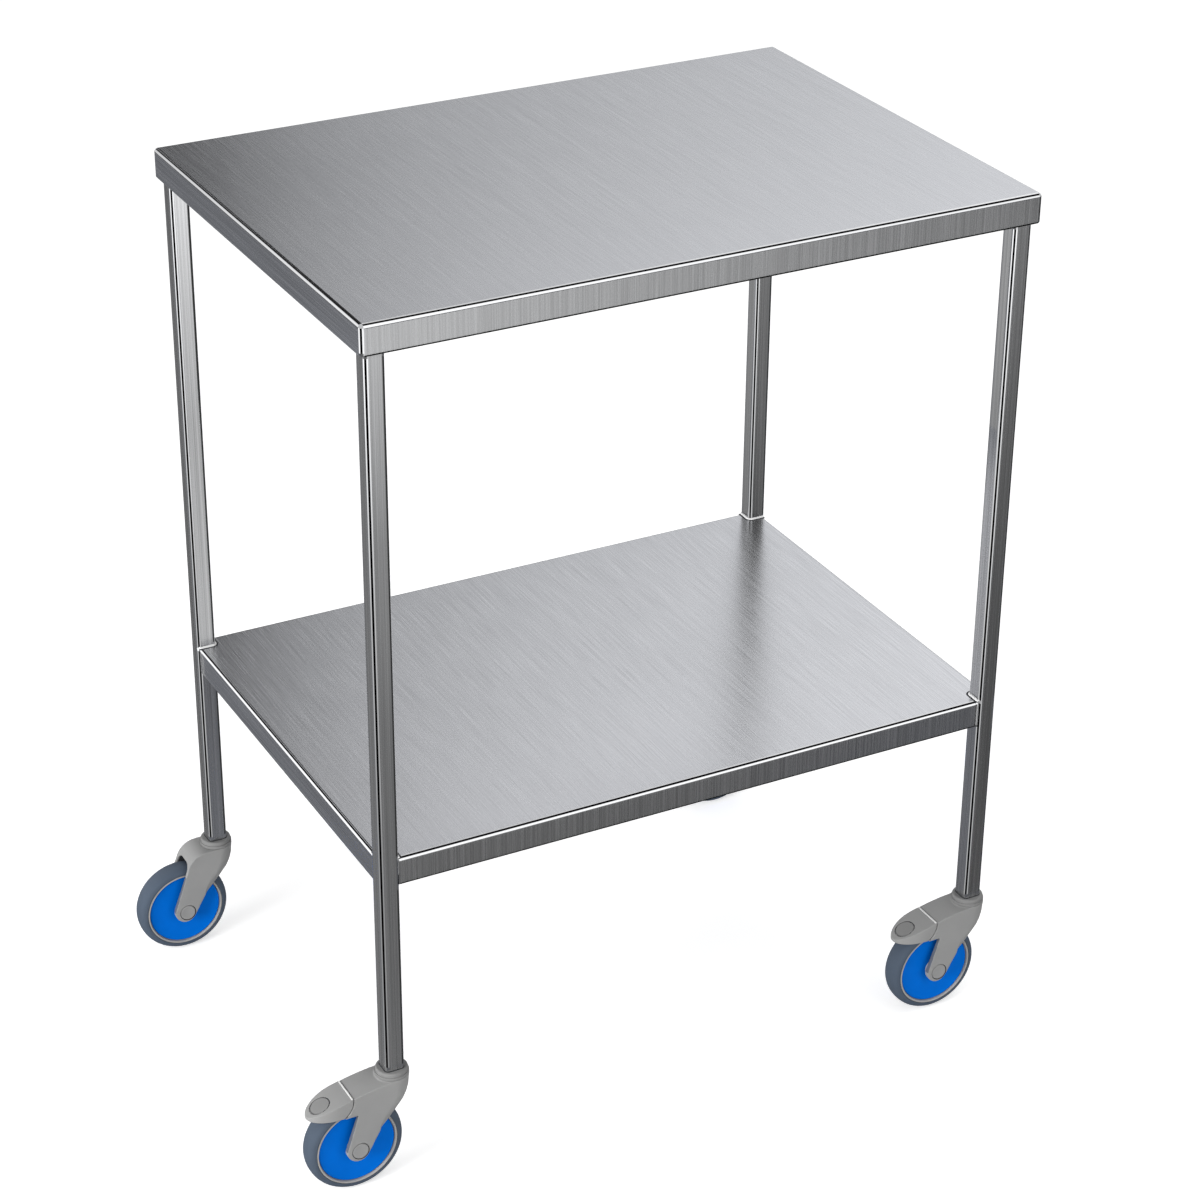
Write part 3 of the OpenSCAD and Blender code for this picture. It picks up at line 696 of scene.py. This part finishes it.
def wheel_centre():
    """Hub, web and rim in one, with a round bead where the tyre ends."""
    half_section = [(5.5, 5.5), (9, 6.5), (9, 13.1), (9.4, 13.5), (10.1, 13.5), (10.5, 13.1), (10.5, 8.5),
                    (38.5, 8.5), (39.95, 8.6), (40.0, 10.9), (40.3, 11.7), (41.05, 12.1), (41.8, 11.85),
                    (42.2, 11.1), (42.4, 10.2)]
    section = half_section + [(radius, -across) for radius, across in half_section[::-1]]
    piece = turned("wheel_centre", section, AXLE, ACROSS, 128)
    smooth_faces(piece, 40)
    return piece


def wheel_discs():
    """The two coloured discs, each slightly dished with a rounded rim."""
    section = [(10.6, 8.52), (39.1, 8.52), (39.35, 8.9), (39.35, 9.6), (39.0, 10.1), (38.4, 10.25),
               (37.6, 10.0), (24, 9.75), (12.5, 9.9), (10.6, 9.9)]
    pair = [turned("disc", [(radius, side * across) for radius, across in section], AXLE, ACROSS, 128)
            for side in (-1, 1)]
    piece = join_pieces("wheel_discs", pair)
    smooth_faces(piece, 30)
    return piece


def axle_caps():
    """Flush round caps in the cheeks, each with a soft edge and a faint dish."""
    section = [(0, -2.1), (8.15, -2.1), (8.3, -1.9), (8.3, -0.5), (8.1, -0.15), (7.7, 0), (6.8, -0.02),
               (6.0, -0.18), (0, -0.22)]
    pair = []
    for side in (-1, 1):
        cap = turned("cap", [(radius, side * across) for radius, across in section], (0, 0, 0), ACROSS, 64)
        pair.append(on_cheek(cap, side))
    piece = join_pieces("axle_caps", pair)
    smooth_faces(piece, 40)
    return piece


def pedal_plan(name, inset, low, high):
    """A block with the pedal's plan, drawn in by the inset."""
    half, reach = PEDAL_HALF - inset, OVAL_REACH - inset
    oval = [(OVAL_X + reach * x, half * y) for x, y in arc((0, 0), 1, 90, 270, 36)]
    return plan_block(name, [(PLAN_BACK, half), *oval, (PLAN_BACK, -half)], low, high)


def mark_groove():
    """The cutter for the groove round the pedal's mark, square to the domed top."""
    brink, bottom, above = -0.8, (9.87, -1.3), 1.5
    section = [(GROOVE_INNER, brink), bottom, (GROOVE_OUTER, brink), (GROOVE_OUTER, above),
               (GROOVE_INNER, above)]
    turn = math.asin((PEDAL_CENTRE[0] - MARK_X) / PEDAL_RADIUS)
    mark_z = PEDAL_CENTRE[1] + math.sqrt(PEDAL_RADIUS ** 2 - (MARK_X - PEDAL_CENTRE[0]) ** 2)
    return put(turned("mark_groove", section, (0, 0, 0), (0, 0, 1), 96), (MARK_X, 0, mark_z), (0, -turn, 0))


def pedal():
    """The brake pedal: a hollow shoe with a domed top, an oval tip and a round pressing mark."""
    below, above = 80, 125
    front_top = arc(PEDAL_CENTRE, PEDAL_RADIUS, 101, 121.5, 14)
    parting = arc(PARTING_CENTRE, PARTING_RADIUS, -56.5, 1.5, 12)
    body = side_board("pedal", [*front_top, (-95, PEDAL_RIM), *parting], BLANK_HALF)
    cut(body, pedal_plan("pedal_plan", 0, below, above), "INTERSECT")
    inner_top = arc(PEDAL_CENTRE, PEDAL_RADIUS - PEDAL_ROOF, 98, 123, 14)
    inner = side_board("pedal_room", [*inner_top, (-99, below), (-38, below)], PEDAL_HALF - PEDAL_WALL)
    cut(inner, pedal_plan("room_plan", PEDAL_WALL, below - 10, above), "INTERSECT")
    cut(body, inner)
    soften(body, 0.5, 6)
    cut(body, mark_groove())
    smooth_faces(body, 40)
    return body


def in_pedal(middle, _look):
    """Which finish a face of the pedal takes: the second one on its mark, and the third, a painted shade, in
    the groove round it."""
    depth = PEDAL_RADIUS - math.hypot(middle.x - PEDAL_CENTRE[0], middle.z - PEDAL_CENTRE[1])
    reach = math.hypot(middle.x - MARK_X, middle.y)
    if depth > 1.7 or reach > GROOVE_OUTER + 0.01:
        return 0
    return 1 if reach < GROOVE_INNER - 0.01 else 2


def pedal_lip():
    """The lip along the pedal's back edge; its pale finish is a painted highlight."""
    lip = drum("pedal_lip", LIP_RADIUS, 2 * CHEEK_TOP_HALF - 1, (LIP_X, 0, LIP_Z), "Y", 24)
    round_edges(lip, level_across, 0.5, 3)
    smooth_faces(lip, 50)
    return lip


def swivel_axis(corner):
    """Where a castor's swivel axis meets the floor, from its leg."""
    low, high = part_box("leg_" + corner)
    return Vector(((low.x + high.x) / 2, (low.y + high.y) / 2, 0))


def place_copy(original, name, place, looks, body, replaced=None, choice=None):
    """A copy with its own mesh, moved to its castor. looks are its finishes. Where there is more than one,
    the choice names one for each face, by the face's place on the castor and by where it looks."""
    piece = original.copy()
    piece.data = original.data.copy()
    piece.name = piece.data.name = name
    bpy.context.scene.collection.objects.link(piece)
    piece.location = place
    settle(piece)
    dress(piece, *looks)
    if choice:
        for face in piece.data.polygons:
            face.material_index = choice((face.center - place) / MM, face.normal)
    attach(piece, body)
    if replaced:
        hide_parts(replaced)


def build_castors():
    braked, plain = housings()
    kinds = [(tyre(), "tyre", "tyre", "wheel_", "tyre_grey"),
             (wheel_centre(), "wheel_centre", "ring", "wheel_", "rim_grey"),
             (wheel_discs(), "wheel_discs", "blue", "wheel_", "wheel_blue"),
             (axle_caps(), "axle_caps", "grey", "castor_", "castor_grey")]
    foot_pedal = pedal()
    back_lip = pedal_lip()
    for corner in CORNERS:
        place = swivel_axis(corner)
        blank = braked if corner in BRAKED else plain
        # The housing's second and third finishes are painted shade: in the wheel's room, in the cap seats and
        # on the fork's front edges
        place_copy(blank, "housing_look_" + corner, place, ("grey", "shade", "edge"), "castor_" + corner,
                   "housing_" + corner, in_housing)
        for original, node, look, body, slot in kinds:
            place_copy(original, node + "_look_" + corner, place, (look,), body + corner,
                       node + "_" + corner)
        if corner in BRAKED:
            # The pedal's third finish is painted shade in the groove round its mark
            place_copy(foot_pedal, "pedal_look_" + corner, place, ("grey", "collar", "shade"),
                       "pedal_" + corner, "pedal_" + corner, in_pedal)
            # The lip's pale finish is a painted highlight
            place_copy(back_lip, "pedal_lip_" + corner, place, ("lip",), "pedal_" + corner)
    for blank in [braked, plain, foot_pedal, back_lip] + [kind[0] for kind in kinds]:
        bpy.data.objects.remove(blank)


# Beads and rings of painted highlight and shade round the legs, and the CAD nodes' finishes


def leg_ring(name, corner, out, low, high):
    """A square ring's blank round a leg, which stands out from it by the given width."""
    centre = swivel_axis(corner) / MM
    corner_radius, reach = LEG_ROUND + out, LEG_HALF - LEG_ROUND
    plan = []
    for start, (x, y) in ((0, (1, 1)), (90, (-1, 1)), (180, (-1, -1)), (270, (1, -1))):
        plan += arc((centre.x + x * reach, centre.y + y * reach), corner_radius, start, start + 90, 8)
    return plan_block(name, plan, low, high)


def cut_for_leg(ring, corner, low, high):
    """Cuts the leg's own room out of a ring's blank."""
    cut(ring, leg_ring("leg_core", corner, -0.02, low - 1, high + 1))


def within_shelf(piece):
    """Cuts off what stands outside the shelf's outline."""
    low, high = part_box("shelf")
    middle, size = (low + high) / 2, high - low
    select_none()
    bpy.ops.mesh.primitive_cube_add(size=1, location=(middle.x, middle.y, high.z))
    room = bpy.context.active_object
    room.dimensions = (size.x, size.y, THROUGH * MM)
    settle(room)
    cut(piece, room, "INTERSECT")


def place_extra(piece, look, body):
    """Dresses a small piece that the solids leave out."""
    dress(piece, look)
    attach(piece, body)


def shelf_beads_with_painted_light():
    """A bead round each leg on the shelf, whose pale finish is a painted highlight, with a dark line of
    painted shade at its foot.
    """
    low = SHELF_TOP - RING_SINK
    bead_top, line_top = SHELF_TOP + BEAD_HEIGHT, SHELF_TOP + LINE_HEIGHT
    for corner in CORNERS:
        bead = leg_ring("shelf_bead_" + corner, corner, BEAD_WIDTH, low, bead_top)
        round_edges(bead, lambda one, other: min(one.z, other.z) > (bead_top - 0.1) * MM, 1.55, 6)
        line = leg_ring("shelf_line_" + corner, corner, LINE_WIDTH, low, line_top)
        # The bead's pale finish is a painted highlight, and the line's dark finish is painted shade
        for piece, look in ((bead, "bead"), (line, "shade")):
            cut_for_leg(piece, corner, low, bead_top)
            within_shelf(piece)
            smooth_faces(piece, 40)
            place_extra(piece, look, "frame")


def foot_shade_rings():
    """A dark ring of painted shade where each leg stands in its collar."""
    low, high = FOOT_TOP + FOOT_LINE_LOW, FOOT_TOP + FOOT_LINE_HIGH
    for corner in CORNERS:
        line = leg_ring("foot_line_" + corner, corner, FOOT_LINE_WIDTH, low, high)
        cut_for_leg(line, corner, low, high)
        # Its dark finish is painted shade in the joint
        place_extra(line, "shade", "frame")


def dress_nodes():
    dress_node("worktop", "sheet")
    dress_node("shelf", "shelf")
    for name in ("worktop_stiffener", "shelf_stiffener"):
        dress_node(name, "bare")
    for corner in CORNERS:
        dress_node("leg_" + corner, "tube")
        dress_node("socket_" + corner, "collar")
        for kind in ("stem_", "swivel_bearing_", "axle_", "wheel_bearings_"):
            dress_node(kind + corner, "bare")
    for corner in BRAKED:
        for kind in ("pedal_pins_", "brake_spring_"):
            dress_node(kind + corner, "bare")
        dress_node("brake_shoe_" + corner, "shoe")


# The studio


def studio_world():
    """An even backdrop, white for the camera and darker for the steel and as light."""
    world = bpy.data.worlds.new("studio")
    bpy.context.scene.world = world
    world.use_nodes = True
    tree = world.node_tree
    tree.nodes.clear()
    path = add_node(tree, "ShaderNodeLightPath")
    backdrop = add_node(tree, "ShaderNodeBackground")
    backdrop.inputs["Color"].default_value = (1, 1, 1, 1)
    out = add_node(tree, "ShaderNodeOutputWorld")
    unseen = choose(tree, path.outputs["Is Glossy Ray"], BACKDROP_LIGHT, BACKDROP_MIRRORED)
    level = choose(tree, path.outputs["Is Camera Ray"], unseen, BACKDROP_SEEN)
    tree.links.new(level, backdrop.inputs["Strength"])
    tree.links.new(backdrop.outputs[0], out.inputs["Surface"])


def studio_floor():
    """A matt pale floor, lifted to white where the camera, a polished face or glass shows it."""
    select_none()
    bpy.ops.mesh.primitive_plane_add(size=60, location=(0, 0, 0))
    floor = bpy.context.active_object
    floor.name = "studio_floor"
    material, tree, shader = finish_nodes("pale_floor")
    path = add_node(tree, "ShaderNodeLightPath")
    seen = measure(tree, "MAXIMUM", path.outputs["Is Camera Ray"], path.outputs["Is Glossy Ray"])
    seen = measure(tree, "MAXIMUM", seen, path.outputs["Is Transmission Ray"])
    tree.links.new(product(tree, seen, FLOOR_LIFT), shader.inputs["Emission Strength"])
    shader.inputs["Base Color"].default_value = (0.88, 0.88, 0.88, 1)
    shader.inputs["Roughness"].default_value = 1
    shader.inputs["Specular IOR Level"].default_value = 0
    shader.inputs["Emission Color"].default_value = (1, 1, 1, 1)
    floor.data.materials.append(material)


def only_in_reflections(card):
    card.visible_camera = False
    card.visible_diffuse = False
    card.visible_shadow = False
    card.visible_transmission = False


def card_blank(name, corners, one_sided=False):
    """A flat card through four corners, which only polished faces show, from both sides or from its front."""
    select_none()
    bpy.ops.mesh.primitive_plane_add(size=1)
    card = bpy.context.active_object
    card.name = name
    for vertex, place in zip(card.data.vertices, (corners[0], corners[1], corners[3], corners[2])):
        vertex.co = place
    material = bpy.data.materials.new(name)
    material.use_nodes = True
    tree = material.node_tree
    tree.nodes.clear()
    glow = add_node(tree, "ShaderNodeEmission")
    out = add_node(tree, "ShaderNodeOutputMaterial")
    surface = glow.outputs[0]
    if one_sided:
        shape = add_node(tree, "ShaderNodeNewGeometry")
        mix = add_node(tree, "ShaderNodeMixShader")
        tree.links.new(shape.outputs["Backfacing"], mix.inputs[0])
        tree.links.new(surface, mix.inputs[1])
        tree.links.new(add_node(tree, "ShaderNodeBsdfTransparent").outputs[0], mix.inputs[2])
        surface = mix.outputs[0]
    tree.links.new(surface, out.inputs["Surface"])
    card.data.materials.append(material)
    only_in_reflections(card)
    return tree, glow.inputs["Color"]


def level_ramp(tree, source, reach, stops, cool=1.0):
    """Greys along a distance in metres, from (distance, grey) pairs, a little bluer where cool is over 1."""
    ramp = add_node(tree, "ShaderNodeValToRGB")
    marks = ramp.color_ramp.elements
    while len(marks) < len(stops):
        marks.new(0.5)
    for mark, (distance, level) in zip(marks, stops):
        mark.position = distance / reach
        mark.color = (level, level * (3 + cool) / 4, level * cool, 1)
    tree.links.new(measure(tree, "DIVIDE", source, reach), ramp.inputs[0])
    return ramp.outputs[0]


def distance_from(tree, centre):
    """How far a place lies from a centre."""
    place = add_node(tree, "ShaderNodeTexCoord")
    reach = add_node(tree, "ShaderNodeVectorMath", operation="DISTANCE")
    reach.inputs[1].default_value = centre
    tree.links.new(place.outputs["Object"], reach.inputs[0])
    return reach.outputs["Value"]


def along_x(tree, start=0.0):
    """How far along X a place lies from the start."""
    place = add_node(tree, "ShaderNodeTexCoord")
    parts = add_node(tree, "ShaderNodeSeparateXYZ")
    tree.links.new(place.outputs["Object"], parts.inputs[0])
    return measure(tree, "SUBTRACT", parts.outputs["X"], start)


def combine(tree, kind, one, other):
    """A sum on two colours, channel by channel."""
    node = add_node(tree, "ShaderNodeVectorMath", operation=kind)
    tree.links.new(one, node.inputs[0])
    tree.links.new(other, node.inputs[1])
    return node.outputs[0]


def mirrored_floor():
    """The floor as the steel shows it: pale in front and in a pool at the left, grey near the object."""
    wide, height, reach = 9, 0.003, 4
    corners = [(-wide, -wide, height), (wide, -wide, height), (wide, wide, height), (-wide, wide, height)]
    tree, colour = card_blank("mirrored_floor", corners)
    front = level_ramp(tree, distance_from(tree, (*POOL_FRONT, height)), reach, FLOOR_FRONT)
    left = level_ramp(tree, distance_from(tree, (*POOL_LEFT, height)), reach, FLOOR_LEFT, cool=1.12)
    across = level_ramp(tree, along_x(tree, ACROSS_START), 2.3, FLOOR_ACROSS)
    tree.links.new(combine(tree, "MAXIMUM", combine(tree, "MULTIPLY", front, across), left), colour)


def wall_corners(right, low, high):
    places = ((WALL_LEFT, low), (right, low), (right, high), (WALL_LEFT, high))
    return [Vector((x, WALL_Y, z)) for x, z in places]


def mirrored_wall(name, low, high, stops):
    """A band of the wall behind, dark at its left end and pale at its right end."""
    right = 12
    tree, colour = card_blank(name, wall_corners(right, low, high))
    tree.links.new(level_ramp(tree, along_x(tree), right, stops, cool=1.05), colour)


def plain_card(name, corners, level):
    """A card of one grey, a little bluish."""
    colour = card_blank(name, corners)[1]
    colour.default_value = (level, level, level * 1.03, 1)


def bearing(turn, climb, distance):
    """A place seen from the worktop's middle: degrees from +Y towards +X, and degrees above level."""
    a, b = math.radians(turn), math.radians(climb)
    way = Vector((math.sin(a) * math.cos(b), math.cos(a) * math.cos(b), math.sin(b)))
    return Vector((0, 0, cad_high[2])) + distance * way


def upright_card(name, first, last, distance, level):
    """A plain card that stands from one bearing to another."""
    ways = ((first, CARD_LOW), (last, CARD_LOW), (last, CARD_HIGH), (first, CARD_HIGH))
    plain_card(name, [bearing(turn, climb, distance) for turn, climb in ways], level)


def thrown_place(place, outward, along, near):
    """Where the camera's view of a place is thrown to by a mirror, at a distance from the line along it."""
    thrown = (place - CAMERA_PLACE).normalized().reflect(outward)
    across = (thrown - along * thrown.dot(along)).length
    return place + thrown * near / across


def mirrored_strip(name, corners, levels):
    """A card seen only from the side of what mirrors it, with greys from its first edge to the opposite
    one."""
    start = (corners[0] + corners[1]) / 2
    end = (corners[2] + corners[3]) / 2
    tree, colour = card_blank(name, corners, one_sided=True)
    reach = (end - start).length
    stops = [(reach * i / (len(levels) - 1), level) for i, level in enumerate(levels)]
    tree.links.new(level_ramp(tree, distance_from(tree, start), reach, stops), colour)


def edge_strip(name, ends, looks, radius, bands, levels):
    """A narrow card along a rounded edge, where that edge mirrors it to the camera. ends are the two ends
    of the rounding's axis, and looks the directions in which its two flat neighbours look. bands are the
    parts of the rounding that show the card at both ends, in degrees from the first look, and levels the
    greys there."""
    along = (ends[1] - ends[0]).normalized()
    if looks[0].cross(looks[1]).dot(along) > 0:
        bands = [band[::-1] for band in bands]
    corners = []
    for end, turns in ((ends[0], bands[0]), (ends[1], bands[1][::-1])):
        for turn in turns:
            outward = looks[0] * math.cos(math.radians(turn)) + looks[1] * math.sin(math.radians(turn))
            corners.append(thrown_place(end + outward * radius, outward, along, STRIP_NEAR * MM))
    mirrored_strip(name, corners, levels)


def edge_strips(name, ends, looks, radius, strips):
    """Several strips along one edge, each given by its two bands and its greys."""
    ends = [Vector(end) for end in ends]
    for i, (first_band, last_band, levels) in enumerate(strips):
        edge_strip("%s_strip_%d" % (name, i + 1), ends, looks, radius, (first_band, last_band), levels)


def sheet_strips(name, inset, front, left):
    """Strips along a sheet's front and left folds and its front hem, which end at an inset from its
    corners."""
    low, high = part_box(name)
    radius, hem = FOLD_RADIUS * MM, HEM_RADIUS * MM
    upper, lower = high.z - radius, low.z + hem
    front_y, left_x, hem_y = low.y + radius, low.x + radius, low.y + hem
    ends = Vector((inset, inset, 0))
    first, last = low + ends, high - ends
    edge_strips(name + "_front", [(first.x, front_y, upper), (last.x, front_y, upper)], [UP, FORWARD],
                radius, front)
    edge_strips(name + "_left", [(left_x, first.y, upper), (left_x, last.y, upper)], [UP, LEFTWARD],
                radius, left)
    edge_strips(name + "_hem", [(first.x, hem_y, lower), (last.x, hem_y, lower)], [FORWARD, -UP],
                hem, HEM_FRONT)


def upright_strips(name, bottom, top, pale, bands, right_spans):
    """Strips beside the left front edge of a node, in three bands, and on spans of its right front edge."""
    low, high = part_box(name)
    radius = FOLD_RADIUS * MM
    front_y, left_x, right_x = low.y + radius, low.x + radius, high.x - radius
    left = [(band, band, levels) for band, levels in zip(bands, (pale, (0.0, 0.0), pale))]
    edge_strips(name + "_corner_left", [(left_x, front_y, bottom), (left_x, front_y, top)],
                [LEFTWARD, FORWARD], radius, left)
    for part, (start, end) in zip("ab", right_spans):
        edge_strips(name + "_right_" + part, [(right_x, front_y, start), (right_x, front_y, end)],
                    [FORWARD, -LEFTWARD], radius, [(RIGHT_BAND, RIGHT_BAND, RIGHT_DARK)])


def face_card(corner, outward, bottom, top, levels):
    """A card before the front or left face of a leg, where the camera sees it mirrored."""
    low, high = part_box("leg_" + corner)
    if outward == FORWARD:
        name, near_side, far_side = "front", Vector((high.x, low.y, 0)), Vector((low.x, low.y, 0))
    else:
        name, near_side, far_side = "left", Vector((low.x, low.y, 0)), Vector((low.x, high.y, 0))
    places = [near_side + UP * bottom, far_side + UP * bottom, far_side + UP * top, near_side + UP * top]
    corners = [thrown_place(place, outward, UP, FACE_CARD_NEAR * MM) for place in places]
    mirrored_strip("card_%s_%s" % (name, corner), corners, levels)


def studio_cards():
    """What the steel mirrors: the floor, the wall behind, and strips of light and dark beside the edges."""
    floor_line, low_top, high_top, wall_top = WALL_HEIGHTS
    mirrored_floor()
    mirrored_wall("mirrored_wall_low", floor_line, low_top, WALL_LOW)
    mirrored_wall("mirrored_wall_high", low_top, high_top, WALL_HIGH)
    plain_card("mirrored_wall_top", wall_corners(14, high_top, wall_top), 1.0)
    for name, first, last, distance, level in UPRIGHT_CARDS:
        upright_card(name, first, last, distance, level)
    sheet_strips("worktop", 3 * MM, WORKTOP_FRONT, WORKTOP_LEFT)
    sheet_strips("shelf", 19 * MM, SHELF_FRONT, SHELF_LEFT)
    low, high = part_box("worktop")
    bottom, top = low.z + 4 * MM, high.z - 2 * MM
    upright_strips("worktop", bottom, top, WORKTOP_PALE, WORKTOP_BANDS, [(bottom, top)])
    right_spans = [(STRIPS_LOW, SHELF_GAP[0]), (SHELF_GAP[1], STRIPS_HIGH)]
    for corner in CORNERS:
        pale, bands = (NEAR_LEG_PALE, NEAR_LEG_BANDS) if corner == "fl" else (LEG_PALE, LEG_BANDS)
        upright_strips("leg_" + corner, STRIPS_LOW, STRIPS_HIGH, pale, bands, right_spans)
    for corner, outward, bottom, top, levels in FACE_CARDS:
        face_card(corner, outward, bottom, top, levels)


def lamp(name, place, aim, size, power):
    """A square lamp that the steel doesn't mirror."""
    data = bpy.data.lights.new(name, "AREA")
    data.shape = "RECTANGLE"
    data.size = data.size_y = size
    data.energy = power
    light = bpy.data.objects.new(name, data)
    light.location = place
    light.visible_glossy = False
    light.rotation_euler = (Vector(aim) - Vector(place)).to_track_quat("-Z", "Y").to_euler()
    bpy.context.scene.collection.objects.link(light)


def studio_lamps():
    lamp("key_left", (-3.2, -0.8, 1.1), (0, 0, 0.3), 1.6, 98)
    lamp("fill_top", (0.7, -0.6, 3.4), (0, 0, 0.4), 2.5, 18)
    lamp("fill_front", (1.6, -3.2, 1.2), (0.2, 0, 0.2), 2.0, 22)


def studio_camera():
    """The camera that took the photograph, as worked out from it."""
    data = bpy.data.cameras.new("camera")
    camera = bpy.data.objects.new("camera", data)
    bpy.context.scene.collection.objects.link(camera)
    turn, drop = math.radians(CAMERA_TURN), math.radians(CAMERA_DROP)
    ahead = Vector((math.sin(turn) * math.cos(drop), math.cos(turn) * math.cos(drop), -math.sin(drop)))
    camera.location = CAMERA_PLACE
    camera.rotation_euler = ahead.to_track_quat("-Z", "Y").to_euler()
    data.sensor_width = 36
    data.lens = CAMERA_LENS
    data.shift_x, data.shift_y = CAMERA_SHIFT
    data.clip_end = 100
    bpy.context.scene.camera = camera


build_castors()
shelf_beads_with_painted_light()
foot_shade_rings()
dress_nodes()
studio_world()
studio_floor()
studio_lamps()
studio_cards()
studio_camera()

scene = bpy.context.scene
scene.view_settings.view_transform = "Standard"
